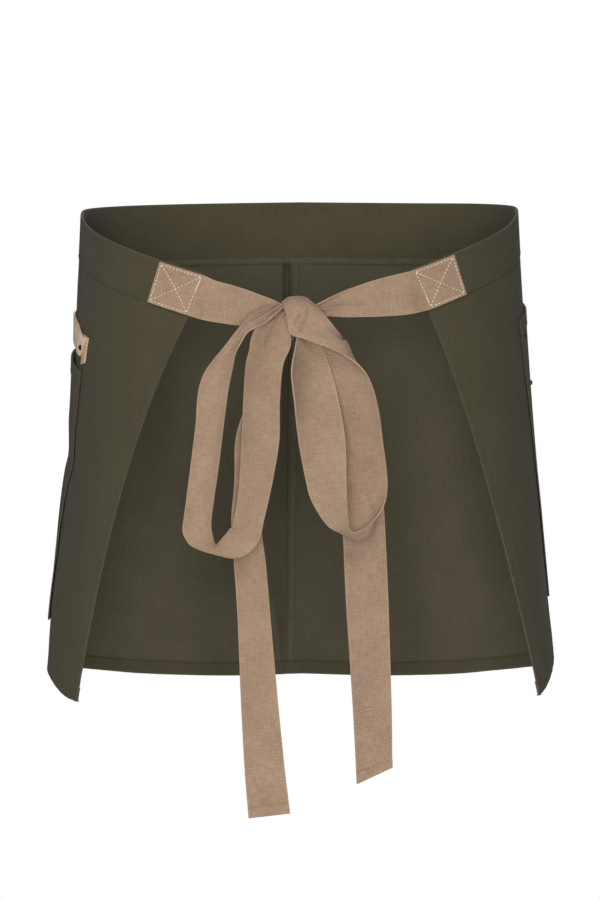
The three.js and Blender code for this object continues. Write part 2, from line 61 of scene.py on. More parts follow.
# Hem height by distance round the hem from the front
HEM_HEIGHT = [
    (0, -405.6), (60, -407), (110, -405), (146, -402), (180, -397), (215, -391.5), (260, -387),
    (295, -382), (330, -386), (364, -396.8), (382, -399.5),
]
# The hem hangs higher on the right side: how much, by distance round the hem
HEM_RIGHT_RISE = [(205, 0), (232, 1.5), (262, 5), (295, 9), (330, 4.5), (364, 1.2)]
# Between band and hem the rear parts swing towards the front: how far, and where along the band this starts
SWING_LEFT, SWING_RIGHT, SWING_FROM = 16.5, 10, 240
# The band ends lean towards the bow: how far their top corners lean, and where the lean starts
LEAN = {-1: 3.8, 1: 4.6}
LEAN_FROM, LEAN_RUN = 330, 60
# The sides hang in below the band and flare lower down: how far each stands out, by distance down
HIP_HANG = {
    -1: [
        (36, 0), (75, 0.1), (118, -1.3), (155, -1.9), (170, -1.8), (191, -3.2), (201, -3.1), (213, -1),
        (238, 1), (270, 2.1), (319, 3.2), (345, 2.6), (366, 1.2), (400, 0),
    ],
    1: [
        (36, -0.6), (75, -0.4), (118, 0), (191, 0.4), (225, 0.6), (270, 0.2), (345, -0.9), (365, -2.2),
        (380, -3.8), (400, -4.5),
    ],
}
# Where along the band a side starts and ends, and how softly
HIP_FROM, HIP_EASE, HIP_FADE = 130, 70, 50
HIP_TO = {-1: 350, 1: BAND_HALF}
# The soft fold left of the centre front seam, its rise by distance down, and how straight its near slope is
FOLD_FOOT = -64
FOLD_CREST = [(36, -21), (240, -21), (290, -24), (316, -24), (350, -13), (376, -7), (410, -5)]
FOLD_RISE = [(36, 0), (80, 3), (150, 7), (230, 11), (270, 23), (310, 30), (350, 18), (376, 8), (410, 1.5)]
FOLD_STRAIGHT = 0.65
# A short tuck close beside the seam, below the band
TUCK_CREST, TUCK_FOOT = -7, -60
TUCK_RISE = [(44, 0), (52, 2), (70, 2.8), (110, 2), (170, 1), (240, 0)]
# Uneven hang of the cloth: its height, where it starts below the band, the lengths of its two waves
# along and down, and the share of the finer one
RIPPLE, RIPPLE_FROM, RIPPLE_EASE = 0.32, 40, 90
WIDE_WAVE, FINE_WAVE, FINE_SHARE = (31, 57), (17, 83), 0.7


def smooth(x):
    x = np.clip(x, 0, 1)
    return x * x * (3 - 2 * x)


def unit(vectors):
    return vectors / np.linalg.norm(vectors, axis=-1, keepdims=True)


def oval(half_width, half_depth, aside, centre, square):
    """Distance walked round an outline from the front, with x and y there, and how far it lies aside."""
    turn = np.linspace(0, math.pi, OUTLINE_STEPS + 1)
    power = 2 / square
    x = half_width * np.abs(np.sin(turn)) ** power
    y = centre + half_depth * np.sign(np.cos(turn)) * np.abs(np.cos(turn)) ** power
    walked = np.concatenate([[0], np.cumsum(np.hypot(np.diff(x), np.diff(y)))])
    return walked, x, y, aside


WAIST_WALK = oval(*WAIST)
HEM_WALK = oval(*HEM)


def read_table(rows, at):
    """A smooth curve through the rows, each a place and a value."""
    x, y = np.array(rows, float).T
    last = len(x) - 1
    before = np.maximum(np.arange(last + 1) - 1, 0)
    after = np.minimum(np.arange(last + 1) + 1, last)
    slope = (y[after] - y[before]) / (x[after] - x[before])
    i = np.clip(np.searchsorted(x, at) - 1, 0, last - 1)
    span = x[i + 1] - x[i]
    t = np.clip((at - x[i]) / span, 0, 1)
    level = (2 * t**3 - 3 * t**2 + 1) * y[i] + (3 * t**2 - 2 * t**3) * y[i + 1]
    return level + span * ((t**3 - 2 * t**2 + t) * slope[i] + (t**3 - t**2) * slope[i + 1])


def walk_to(walk, at):
    walked, x, y, aside = walk
    return np.interp(np.abs(at), walked, x) * np.sign(at) + aside, np.interp(np.abs(at), walked, y)


def waist_point(u):
    at = u + TURN_WAIST
    x, y = walk_to(WAIST_WALK, at)
    run = DROP_TO - DROP_FROM
    t = np.maximum(0, (np.abs(at) - DROP_FROM) / run)
    eased = np.where(t < 1, t**3 - t**4 / 2, t - 0.5)
    drop = DROP_EXTRA * run * eased + DROP_SLOPE * np.abs(at)
    return np.stack([x, y, read_table(TOP_RISE, u) - drop], -1)


def hem_point(u):
    t = np.abs(u) / BAND_HALF
    at = np.where(u < 0, -HEM_LEFT, HEM_RIGHT) * t + TURN_HEM * (1 - t)
    x, y = walk_to(HEM_WALK, at)
    raised = np.where(at > 0, read_table(HEM_RIGHT_RISE, at), 0)
    return np.stack([x, y, read_table(HEM_HEIGHT, np.abs(at)) + raised], -1)


def fall(u):
    """How far the cloth hangs from the band's top edge to the hem."""
    return np.linalg.norm(hem_point(u) - waist_point(u), axis=-1)


def fold_depth(u, v):
    """How far the fold and the tuck beside the centre seam stand in."""
    crest = read_table(FOLD_CREST, v)
    near = FOLD_STRAIGHT * np.clip(u / crest, 0, 1) + (1 - FOLD_STRAIGHT) * smooth(u / crest)
    rise = np.minimum(near, smooth((FOLD_FOOT - u) / (FOLD_FOOT - crest)))
    tuck = np.minimum(smooth(u / TUCK_CREST), smooth((TUCK_FOOT - u) / (TUCK_FOOT - TUCK_CREST)))
    return rise * read_table(FOLD_RISE, v) + tuck * read_table(TUCK_RISE, v)


def hip_stand(u, v):
    """How far the sides stand out."""
    end = np.where(u < 0, HIP_TO[-1], HIP_TO[1])
    hip = smooth((np.abs(u) - HIP_FROM) / HIP_EASE) * smooth((end - np.abs(u)) / HIP_FADE)
    return hip * np.where(u < 0, read_table(HIP_HANG[-1], v), read_table(HIP_HANG[1], v))


def cloth(u, v):
    """The hanging cloth: u runs along the band from centre front, v down from its top edge."""
    u, v = np.broadcast_arrays(np.asarray(u, float), np.asarray(v, float))
    lean = np.where(u < 0, LEAN[-1], LEAN[1]) * np.clip(1 - v / BAND_HEIGHT, 0, 1)
    u = u + np.sign(u) * lean * smooth((np.abs(u) - LEAN_FROM) / LEAN_RUN)
    below = np.clip((v - BAND_HEIGHT) / (fall(u) - BAND_HEIGHT), 0, 1)
    near = np.clip((np.abs(u) - SWING_FROM) / (BAND_HALF - SWING_FROM), 0, 1)
    swing = np.where(u < 0, SWING_LEFT, SWING_RIGHT) * 4 * below * (1 - below) * near**2
    top = waist_point(u - np.sign(u) * swing)
    foot = hem_point(u - np.sign(u) * swing)
    point = top + (foot - top) * (v / fall(u))[..., None]
    point[..., 1] -= fold_depth(u, v)
    point[..., 0] += np.sign(u) * hip_stand(u, v)
    return point


def outward(u, v):
    """The way the outer face looks, from the slope of the cloth over a millimetre."""
    half = 0.5
    along = cloth(u + half, v) - cloth(u - half, v)
    down = cloth(u, v + half) - cloth(u, v - half)
    return unit(np.cross(along, down))


def ripple(u, v):
    """The uneven hang of real cloth, well under a millimetre."""
    calm = smooth((v - RIPPLE_FROM) / RIPPLE_EASE)
    wide = np.sin(u / WIDE_WAVE[0] + 0.6) * np.sin(v / WIDE_WAVE[1] + 1.1)
    fine = np.sin(u / FINE_WAVE[0] - v / FINE_WAVE[1] + 2)
    return RIPPLE * calm * (wide + FINE_SHARE * fine)


def on_cloth(u, v, off):
    """Points that lie so far off the cloth, outwards."""
    u, v = np.broadcast_arrays(np.asarray(u, float), np.asarray(v, float))
    return cloth(u, v) + outward(u, v) * (off + ripple(u, v))[..., None]


# Making cloth

# Radius of the turn at a folded edge of canvas
HEM_TURN = 0.5


def stations(*stops):
    """Places from the first stop on, with so many steps up to each later stop."""
    places = [np.array([stops[0]], float)]
    for place, count in stops[1:]:
        places.append(np.linspace(places[-1][-1], place, count + 1)[1:])
    return np.concatenate(places)


def turned(run, edge, turn=HEM_TURN):
    """Cloth that runs to an edge and turns under it: its place, and how far inside it lies."""
    past = run - edge
    angle = np.clip(past / turn, 0, math.pi)
    back = np.maximum(past - math.pi * turn, 0)
    place = np.where(past <= 0, run, edge + turn * np.sin(angle) - back)
    return place, turn * (1 - np.cos(angle))


def edge_wear(distance, reach=0.9):
    """One at an edge, falling evenly to nothing at the reach."""
    return np.clip(1 - np.abs(distance) / reach, 0, 1)


def take_mesh(bm, name):
    """The mesh of a bmesh, which is freed."""
    mesh = bpy.data.meshes.new(name)
    bm.to_mesh(mesh)
    bm.free()
    return mesh


def vertices_of(mesh):
    places = np.empty(len(mesh.vertices) * 3)
    mesh.vertices.foreach_get("co", places)
    return places.reshape(-1, 3)


def shape_mesh(mesh, points, uv):
    """Moves the vertices of a mesh, and gives it a UV map that holds the flat cloth in millimetres."""
    mesh.vertices.foreach_set("co", (points * MM).ravel())
    corners = np.empty(len(mesh.loops), np.int32)
    mesh.loops.foreach_get("vertex_index", corners)
    layer = mesh.uv_layers.new(name="Flat")
    layer.data.foreach_set("uv", uv[corners].ravel())


def new_piece(name, mesh):
    """A smooth shaded object of a mesh."""
    mesh.polygons.foreach_set("use_smooth", np.ones(len(mesh.polygons), bool))
    mesh.update()
    piece = bpy.data.objects.new(name, mesh)
    bpy.context.collection.objects.link(piece)
    return piece


def finish_piece(piece, material, replaced=()):
    piece.data.materials.append(material)
    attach(piece, "root")
    if replaced:
        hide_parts(*replaced)
    return piece


def grid_piece(name, across, down, place):
    """A grid with a row for each place down and a column for each place across, moved by place,
    which also gives its UV map and its wear_and_highlight attribute: the rubbed edges, and on tape the pale
    selvedges, which are partly painted highlight."""
    bm = bmesh.new()
    bmesh.ops.create_grid(bm, x_segments=len(across) - 1, y_segments=len(down) - 1, size=1)
    mesh = take_mesh(bm, name)
    s, t = (vertices_of(mesh)[:, :2].T + 1) / 2
    column = np.rint(s * (len(across) - 1)).astype(int)
    row = np.rint(t * (len(down) - 1)).astype(int)
    points, uv, wear_and_highlight = place(across[column], down[row])
    shape_mesh(mesh, points, uv)
    rubbed = mesh.attributes.new("wear_and_highlight", "FLOAT", "POINT")
    rubbed.data.foreach_set("value", np.broadcast_to(wear_and_highlight, len(points)).astype(np.float32))
    return new_piece(name, mesh)


def thicken(piece, wall, bevel=0, even=True, reverse=0):
    """Gives a sheet its thickness, half on each side, rounded edges where asked, and a reverse material."""
    body = piece.modifiers.new("wall", "SOLIDIFY")
    body.thickness = wall * MM
    body.offset = 0
    body.use_even_offset = even
    body.material_offset = reverse
    if bevel:
        edge = piece.modifiers.new("edge", "BEVEL")
        edge.width = bevel * MM
        edge.segments = 2
        edge.limit_method = "ANGLE"
        edge.angle_limit = math.radians(50)
    shading = piece.modifiers.new("shading", "WEIGHTED_NORMAL")
    shading.weight = 60
    return piece


# Materials


def linear(hex_colour):
    """An sRGB hex colour as linear red, green, blue and alpha."""
    parts = [int(hex_colour[i : i + 2], 16) / 255 for i in (0, 2, 4)]
    return (*(c / 12.92 if c <= 0.04045 else ((c + 0.055) / 1.055) ** 2.4 for c in parts), 1)


def feed(tree, target, inputs):
    """Sets the inputs of a node to values, or links them to sockets, or to the output in use of nodes."""
    for key, value in inputs.items():
        if isinstance(value, bpy.types.Node):
            value = next(socket for socket in value.outputs if socket.enabled)
        if isinstance(value, bpy.types.NodeSocket):
            tree.links.new(value, target.inputs[key])
        else:
            target.inputs[key].default_value = value


def node(tree, kind, inputs=(), **settings):
    """Adds a node with its settings, and sets or links its inputs."""
    made = tree.nodes.new("ShaderNode" + kind)
    for key, value in settings.items():
        setattr(made, key, value)
    feed(tree, made, dict(inputs))
    return made


def new_material(name):
    material = bpy.data.materials.new(name)
    material.use_nodes = True
    tree = material.node_tree
    tree.nodes.clear()
    shader = node(tree, "BsdfPrincipled")
    node(tree, "OutputMaterial", {"Surface": shader})
    return material, tree, shader


# Canvas: thread spacing, length of a thick thread and size of a patch of uneven dye, in millimetres
CANVAS_THREAD = 1.05
CANVAS_SLUB = 16
CANVAS_CLOUD = 45
CANVAS_RUBBED = "6a6350"


def canvas_material(name, dark, light):
    # Cotton canvas, piece dyed dark olive: matt, a fine plain weave with thicker slub threads both ways,
    # slightly uneven dye, and paler where folded edges rub. The weave is drawn a little coarse, to show.
    # Its reverse, inside the skirt, is a lighter copy of it: painted light, standing in for light on the
    # shaded inside of the skirt.
    material, tree, shader = new_material(name)
    flat = node(tree, "UVMap", uv_map="Flat")
    waves = []
    for part in node(tree, "SeparateXYZ", {0: flat}).outputs[:2]:
        phase = node(tree, "Math", {0: part, 1: 2 * math.pi / CANVAS_THREAD}, operation="MULTIPLY")
        waves.append(node(tree, "Math", {0: phase}, operation="SINE"))
    weave = node(tree, "Math", {0: waves[0], 1: waves[1]}, operation="MULTIPLY")
    slubs = []
    for stretch in ((1 / CANVAS_SLUB, 1 / CANVAS_THREAD, 1), (1 / CANVAS_THREAD, 1 / CANVAS_SLUB, 1)):
        along = node(tree, "Mapping", {"Vector": flat, "Scale": stretch})
        slubs.append(node(tree, "TexNoise", {"Vector": along, "Scale": 0.9, "Detail": 2.0}))
    slub = node(tree, "Math", {0: slubs[0], 1: slubs[1]}, operation="ADD")
    cloud = node(tree, "TexNoise", {"Vector": flat, "Scale": 1 / CANVAS_CLOUD, "Detail": 3.0})
    height = node(tree, "Math", {0: weave, 1: 0.35, 2: slub}, operation="MULTIPLY_ADD")
    tone = node(tree, "Math", {0: cloud, 1: 0.9, 2: height}, operation="MULTIPLY_ADD")
    shade = node(tree, "MapRange", {"Value": tone, "From Min": 0.7, "From Max": 2.2})
    dyed = node(tree, "Mix", {"Factor": shade, "A": linear(dark), "B": linear(light)}, data_type="RGBA")
    wear_and_highlight = node(tree, "Attribute", attribute_name="wear_and_highlight").outputs["Fac"]
    rubbed = node(tree, "Math", {0: wear_and_highlight, 1: slubs[0]}, operation="MULTIPLY")
    colour = node(tree, "Mix", {"Factor": rubbed, "A": dyed, "B": linear(CANVAS_RUBBED)}, data_type="RGBA")
    bump = node(tree, "Bump", {"Height": height, "Strength": 0.45, "Distance": 0.00022})
    feed(tree, shader, {"Base Color": colour, "Normal": bump, "Roughness": 0.92, "Specular IOR Level": 0.18})
    feed(tree, shader, {"Sheen Weight": 0.06, "Sheen Roughness": 0.6})
    return material


# Tape: width of a column of ribs, spacing of the ribs, size of slubs along and across, and of uneven dye
TAPE_COLUMN = 8.75
TAPE_TWILL = 1.9
TAPE_SLUB, TAPE_YARN, TAPE_PICK = 9, 1.2, 1.4
TAPE_CLOUD = 30
TAPE_DARK = "896e56"
TAPE_LIGHT = "bda28a"
# Pale edge colour: the selvedge's own paler tone, plus painted highlight where the edges catch light
TAPE_SELVEDGE_HIGHLIGHT = "b99f86"


def tape_material():
    # Cotton twill tape, tan: matt herringbone ribs that turn every few millimetres across the tape,
    # soft slubs, and a paler firm selvedge along both edges, which also carries painted highlight on the
    # edges.
    # The ribs are drawn twice their real width.
    material, tree, shader = new_material("cotton_twill_tape_tan")
    flat = node(tree, "UVMap", uv_map="Flat")
    along, across = node(tree, "SeparateXYZ", {0: flat}).outputs[:2]
    zigzag = node(tree, "Math", {0: across, 1: TAPE_COLUMN}, operation="PINGPONG")
    run = node(tree, "Math", {0: along, 1: zigzag}, operation="ADD")
    phase = node(tree, "Math", {0: run, 1: 2 * math.pi / TAPE_TWILL}, operation="MULTIPLY")
    rib = node(tree, "Math", {0: phase}, operation="SINE")
    long_way = node(tree, "Mapping", {"Vector": flat, "Scale": (1 / TAPE_SLUB, 1 / TAPE_YARN, 1)})
    slub = node(tree, "TexNoise", {"Vector": long_way, "Scale": 1.0, "Detail": 2.0})
    cross_way = node(tree, "Mapping", {"Vector": flat, "Scale": (1 / TAPE_PICK, 1 / TAPE_SLUB, 1)})
    pick = node(tree, "TexNoise", {"Vector": cross_way, "Scale": 1.0, "Detail": 1.0})
    cloud = node(tree, "TexNoise", {"Vector": flat, "Scale": 1 / TAPE_CLOUD, "Detail": 2.0})
    threads = node(tree, "Math", {0: slub, 1: pick}, operation="ADD")
    height = node(tree, "Math", {0: rib, 1: 0.55, 2: threads}, operation="MULTIPLY_ADD")
    tone = node(tree, "Math", {0: cloud, 1: 0.8, 2: height}, operation="MULTIPLY_ADD")
    shade = node(tree, "MapRange", {"Value": tone, "From Min": 0.6, "From Max": 2.2})
    ends = {"A": linear(TAPE_DARK), "B": linear(TAPE_LIGHT)}
    dyed = node(tree, "Mix", {"Factor": shade, **ends}, data_type="RGBA")
    wear_and_highlight = node(tree, "Attribute", attribute_name="wear_and_highlight").outputs["Fac"]
    # Paler selvedges, partly painted highlight on the edges
    colour = node(tree, "Mix", {"Factor": wear_and_highlight, "A": dyed, "B": linear(TAPE_SELVEDGE_HIGHLIGHT)}, data_type="RGBA")
    bump = node(tree, "Bump", {"Height": height, "Strength": 0.5, "Distance": 0.0003})
    feed(tree, shader, {"Base Color": colour, "Normal": bump, "Roughness": 0.88, "Specular IOR Level": 0.2})
    feed(tree, shader, {"Sheen Weight": 0.08, "Sheen Roughness": 0.5})
    return material


def thread_material(name, dark, light):
    # Twisted polyester sewing thread: a slight shine, and light and dark strands along each stitch.
    material, tree, shader = new_material(name)
    place = node(tree, "TexCoord").outputs["Object"]
    noise = node(tree, "TexNoise", {"Vector": place, "Scale": 1400.0, "Detail": 1.0})
    shade = node(tree, "MapRange", {"Value": noise, "From Min": 0.35, "From Max": 0.65})
    colour = node(tree, "Mix", {"Factor": shade, "A": linear(dark), "B": linear(light)}, data_type="RGBA")
    bump = node(tree, "Bump", {"Height": noise, "Strength": 0.4, "Distance": 0.0001})
    feed(tree, shader, {"Base Color": colour, "Normal": bump, "Roughness": 0.6})
    return material


def leather_material(name, dark, light, cut):
    # Vegetable-tanned cow leather, undyed: satin, with a fine pebbled grain, soft blotches
    # and cut edges of another tone.
    material, tree, shader = new_material(name)
    place = node(tree, "TexCoord").outputs["Object"]
    grain = node(tree, "TexVoronoi", {"Vector": place, "Scale": 1100.0}, feature="SMOOTH_F1")
    blotch = node(tree, "TexNoise", {"Vector": place, "Scale": 160.0, "Detail": 4.0})
    tone = node(tree, "Math", {0: grain, 1: 0.35, 2: blotch}, operation="MULTIPLY_ADD")
    shade = node(tree, "MapRange", {"Value": tone, "From Min": 0.35, "From Max": 0.95})
    tanned = node(tree, "Mix", {"Factor": shade, "A": linear(dark), "B": linear(light)}, data_type="RGBA")
    wear_and_highlight = node(tree, "Attribute", attribute_name="wear_and_highlight").outputs["Fac"]
    colour = node(tree, "Mix", {"Factor": wear_and_highlight, "A": tanned, "B": linear(cut)}, data_type="RGBA")
    bump = node(tree, "Bump", {"Height": grain, "Strength": 0.35, "Distance": 0.0002})
    ends = {"From Min": 0.3, "From Max": 0.7, "To Min": 0.5, "To Max": 0.68}
    rough = node(tree, "MapRange", {"Value": blotch, **ends})
    feed(tree, shader, {"Base Color": colour, "Normal": bump, "Roughness": rough})
    return material


def rivet_material(name, dark, light, rough_low, rough_high):
    # Pressed metal rivet: a brushed satin dome, darker where it has tarnished.
    material, tree, shader = new_material(name)
    place = node(tree, "TexCoord").outputs["Object"]
    stain = node(tree, "TexNoise", {"Vector": place, "Scale": 700.0, "Detail": 4.0})
    shade = node(tree, "MapRange", {"Value": stain, "From Min": 0.35, "From Max": 0.65})
    colour = node(tree, "Mix", {"Factor": shade, "A": linear(dark), "B": linear(light)}, data_type="RGBA")
    ends = {"From Min": 0.3, "From Max": 0.7, "To Min": rough_high, "To Max": rough_low}
    rough = node(tree, "MapRange", {"Value": stain, **ends})
    bump = node(tree, "Bump", {"Height": stain, "Strength": 0.15, "Distance": 0.0001})
    feed(tree, shader, {"Base Color": colour, "Roughness": rough, "Normal": bump, "Metallic": 1.0})
    return material


CANVAS = canvas_material("cotton_canvas_olive", "423d2e", "534e3b")
# The reverse is painted lighter than the face: painted light on the shaded inside of the skirt
CANVAS_REVERSE_PAINTED_LIGHTER = canvas_material("cotton_canvas_olive_reverse_painted_lighter", "484335", "5a5544")
TAPE = tape_material()
OLIVE_THREAD = thread_material("polyester_thread_olive", "464133", "5a5442")
OVERLOCK_THREAD = thread_material("polyester_overlock_thread_olive", "544f40", "77715e")
CREAM_THREAD = thread_material("polyester_thread_cream", "dcc7ab", "fbeedc")
LEATHER = leather_material("vegetable_tanned_leather", "f2d6bb", "ffeed8", "d0b298")
LEATHER_UNDER = leather_material("vegetable_tanned_leather_flesh_side", "bb9d83", "d9bca2", "dec3a9")
COPPER = rivet_material("copper", "604233", "9c7460", 0.3, 0.5)
DARK_RIVET = rivet_material("blackened_brass", "2a1a13", "5a3a2a", 0.35, 0.55)

# Canvas pieces

CANVAS_WALL = 0.9
PANEL_OFF = 0.35
PANEL_GAP = 0.25
HEM_DEPTH = 10.6
SIDES = {"left": -1, "right": 1}
# The dip beside the centre seam by distance down, its middle, and how far it reaches to each side
SEAM_DIP = [(40, 0), (50, 4.8), (62, 6), (90, 5), (130, 3.5), (200, 1.8), (300, 0.7), (390, 0)]
DIP_MIDDLE, DIP_LEFT, DIP_RIGHT = 2, 11, 4.5
# How far the centre seam and the band seam draw the panels in, and how near to the seam
SEAM_DRAW, BAND_DRAW, DRAW_REACH = 0.8, 0.6, 1.4
# Puckers of the hems: height, spacing along the bottom and down the rear, and how near to the edge
PUCKER, PUCKER_ALONG, PUCKER_DOWN, PUCKER_REACH = 0.12, 2.1, 2.3, 14


def seam_valley(u, v):
    """How far the panels dip outwards beside the centre seam, below the band."""
    across = np.clip((u - DIP_MIDDLE) / np.where(u < DIP_MIDDLE, DIP_LEFT, DIP_RIGHT), -1, 1)
    return (0.5 + 0.5 * np.cos(math.pi * across)) * read_table(SEAM_DIP, v)


def make_panel(name):
    """One half of the skirt, with its bottom and rear hems turned in."""
    side = SIDES[name]
    turn_end = math.pi * HEM_TURN
    across = stations(
        0.02, (1.2, 3), (12, 12), (30, 9), (200, 36), (345, 48), (BAND_HALF - 12, 12), (BAND_HALF, 8),
        (BAND_HALF + turn_end, 8), (BAND_HALF + turn_end + HEM_DEPTH, 6),
    )
    down = stations(0, (0.06, 12), (0.96, 70), (1, 5), (1 + turn_end, 8), (1 + turn_end + HEM_DEPTH, 6))
    top = BAND_HEIGHT + PANEL_GAP

    def place(a, d):
        u, under_rear = turned(a, BAND_HALF)
        end = fall(side * u)
        run = top + np.minimum(d, 1) * (end - top) + np.maximum(d - 1, 0)
        v, under_hem = turned(run, end)
        seam = SEAM_DRAW * edge_wear(a, DRAW_REACH) ** 2 + BAND_DRAW * edge_wear(run - top, DRAW_REACH) ** 2
        along_hem = np.sin(a / PUCKER_ALONG) * edge_wear(run - end, PUCKER_REACH)
        down_rear = np.sin(run / PUCKER_DOWN) * edge_wear(a - BAND_HALF, PUCKER_REACH)
        sewn = PANEL_OFF - under_rear - under_hem - seam + PUCKER * (along_hem + down_rear)
        wear_and_highlight = np.maximum(edge_wear(a - BAND_HALF - 1), edge_wear(run - end - 1))
        points = on_cloth(side * u, v, sewn + seam_valley(side * u, v))
        return points, np.stack([side * a, run], -1), wear_and_highlight

    # The grid of the left panel comes out turned over, so its two faces change places
    # The reverse, painted lighter as painted light, goes on the inner face
    faces = [CANVAS, CANVAS_REVERSE_PAINTED_LIGHTER][::side]
    piece = thicken(grid_piece(f"skirt_panel_{name}", across, down, place), CANVAS_WALL, reverse=1)
    finish_piece(piece, faces[0], [f"skirt_{name}"])
    piece.data.materials.append(faces[1])
    return piece


# The band: radius of its top fold, how far and over what length its ends are pressed flat, how far its
# outer seam draws in, how far in its lip stands from the inner face, and the lip's slight wave
BAND_TURN = 0.75
END_PINCH, PINCH_RUN = 0.55, 4
FOOT_DRAW, FOOT_REACH = 0.75, 1.1
LIP_BACK, LIP_WAVE, LIP_WAVE_LENGTH = 0.32, 0.18, 5.3
LIP_END = BAND_HEIGHT + BAND_LIP


def lip_wave(u):
    return LIP_WAVE * np.sin(u / LIP_WAVE_LENGTH)


def make_band():
    """The folded band: up the outside, over the top, down the inside and on as a seam allowance."""
    arc = math.pi * BAND_TURN
    face = BAND_HEIGHT - BAND_TURN
    half = stations(0, (30, 8), (190, 30), (340, 60), (BAND_HALF - 4, 16), (BAND_HALF, 5))
    along = np.concatenate([-half[:0:-1], half])
    section = stations(
        0, (1.2, 4), (face - 2, 14), (face, 3), (face + arc, 9), (face + arc + 2, 3),
        (face + arc + face, 14), (face + arc + face + BAND_LIP, 9),
    )

    def place(u, w):
        past = w - face
        angle = np.clip(past / BAND_TURN, 0, math.pi)
        inner = np.maximum(past - arc, 0) + BAND_TURN * (1 - np.sin(angle))
        v = np.where(past <= 0, BAND_HEIGHT - w, inner)
        pinch = 1 - END_PINCH * smooth((np.abs(u) - BAND_HALF + PINCH_RUN) / PINCH_RUN)
        off = BAND_TURN * np.cos(angle) * pinch - FOOT_DRAW * edge_wear(w, FOOT_REACH) ** 2
        lip = smooth((v - BAND_HEIGHT + 1) / 3)
        off = np.where(past > arc, off + lip * (lip_wave(u) - LIP_BACK), off)
        wear_and_highlight = np.maximum(edge_wear(past - arc / 2, 1.3), edge_wear(np.abs(u) - BAND_HALF))
        return on_cloth(u, v, off), np.stack([u, w], -1), wear_and_highlight

    piece = thicken(grid_piece("waistband_canvas", along, section, place), CANVAS_WALL)
    return finish_piece(piece, CANVAS, ["waistband"])


# The centre seam's allowance: where it starts, its width and wall, how far in it lies, how far its head
# tucks under the band's lip, how far its seam draws in, and how far its free edge curls
SEAM_TOP = LIP_END - 1.5
SEAM_FROM, SEAM_WIDTH, SEAM_WALL = -0.5, 7.2, 0.8
SEAM_OFF, SEAM_TUCK, ALLOWANCE_DRAW = -0.95, 0.7, 0.3
SEAM_CURL, CURL_LENGTH = 0.5, 23
# Where on the cloth it was cut from, so that its weave does not line up with the panel's
SEAM_SHIFT = 40


def seam_curl(v):
    return SEAM_CURL * (0.6 + 0.4 * np.sin(v / CURL_LENGTH))


def make_centre_seam():
    """The overlocked allowance of the centre front seam, pressed towards the right inside."""
    across = stations(SEAM_FROM, (SEAM_WIDTH, 8))
    down = stations(SEAM_TOP, (LIP_END + 4, 3), (fall(0.0) - HEM_DEPTH - 0.6, 90))

    def place(u, v):
        tucked = SEAM_TUCK * smooth((LIP_END + 3 - v) / 4)
        lift = (u / SEAM_WIDTH) ** 2 * seam_curl(v)
        off = SEAM_OFF - lift + tucked - ALLOWANCE_DRAW * edge_wear(u - SEAM_FROM, 1.2)
        wear_and_highlight = 0.3 * edge_wear(u - SEAM_WIDTH, 1.5)
        return on_cloth(u, v, off), np.stack([u + SEAM_SHIFT, v], -1), wear_and_highlight

    piece = thicken(grid_piece("centre_seam_allowance", across, down, place), SEAM_WALL)
    return finish_piece(piece, CANVAS, ["centre_seam"])


# Patch pockets: side, front and rear edge round the band, mouth and bottom below its top, how far it gapes
POCKETS = {
    "left": (-1, 150, 297, 118, 334, 2.0),
    "right": (1, 156, 301, 82, 322, 1.0),
}
# How far each pocket stands off, and how far and how near to the edge its sewn edges roll in
POCKET_SEAT = {"left": 1.85, "right": 1.4}
POCKET_ROLL = {"left": 0.95, "right": 0.55}
ROLL_REACH = 1.3
# The mouth hem, how much thicker it is, and how much flatter at the corners
POCKET_HEM, POCKET_HEM_THICK, CORNER_FLAT = 12, 0.5, 0.6
# How far the rear edge flares out, and over what width
REAR_FLARE, FLARE_RUN = 0.9, 4
# How the gape squares off to the sides and fades downwards
GAPE_SQUARE, GAPE_FADE = 8, 1.6
# Where on the cloth a pocket was cut from, and a distance past any edge
POCKET_SHIFT, FAR = 500, 99


def pocket_off(name, s, d):
    """How far the middle of a pocket's wall stands off: s runs from front to rear, d down from the mouth."""
    mouth, bottom, gape = POCKETS[name][3:]
    lower = np.clip(1 - d / (bottom - mouth), 0, 1) ** GAPE_FADE
    gap = gape * (1 - (2 * s - 1) ** GAPE_SQUARE) * lower
    return POCKET_SEAT[name] + gap + POCKET_HEM_THICK * smooth((POCKET_HEM + 2 - d) / 4)


def make_pocket(name):
    side, front, rear, mouth, bottom, _ = POCKETS[name]
    height = bottom - mouth
    width = rear - front
    turn_end = math.pi * HEM_TURN
    across = stations(0, (1.5, 5), (8, 4), (width - 8, 44), (width - 1.5, 4), (width, 5))
    down = stations(
        0, (1.5, 5), (8, 4), (height - 14, 36), (height, 7), (height + turn_end, 8),
        (height + turn_end + POCKET_HEM - 1, 6),
    )

    def place(a, run):
        up, under = turned(run, height)
        d = height - up
        sewn = np.minimum(a, np.where(run < height / 2, run, FAR))
        edge = np.minimum(sewn, width - a)
        roll = POCKET_ROLL[name] * edge_wear(sewn, ROLL_REACH) ** 2
        flare = REAR_FLARE * smooth((a - width + FLARE_RUN) / FLARE_RUN)
        off = pocket_off(name, a / width, d) - under * np.where(edge < 2, CORNER_FLAT, 1) - roll + flare
        wear_and_highlight = 0.4 * np.maximum(edge_wear(run - height - 1, 1.3), edge_wear(edge, 1.0))
        u = side * (front + a)
        return on_cloth(u, mouth + d, off), np.stack([u, POCKET_SHIFT + run], -1), wear_and_highlight

    piece = thicken(grid_piece(f"patch_pocket_{name}", across, down, place), CANVAS_WALL)
    return finish_piece(piece, CANVAS, [f"pocket_{name}"])


# Leather loop and rivets

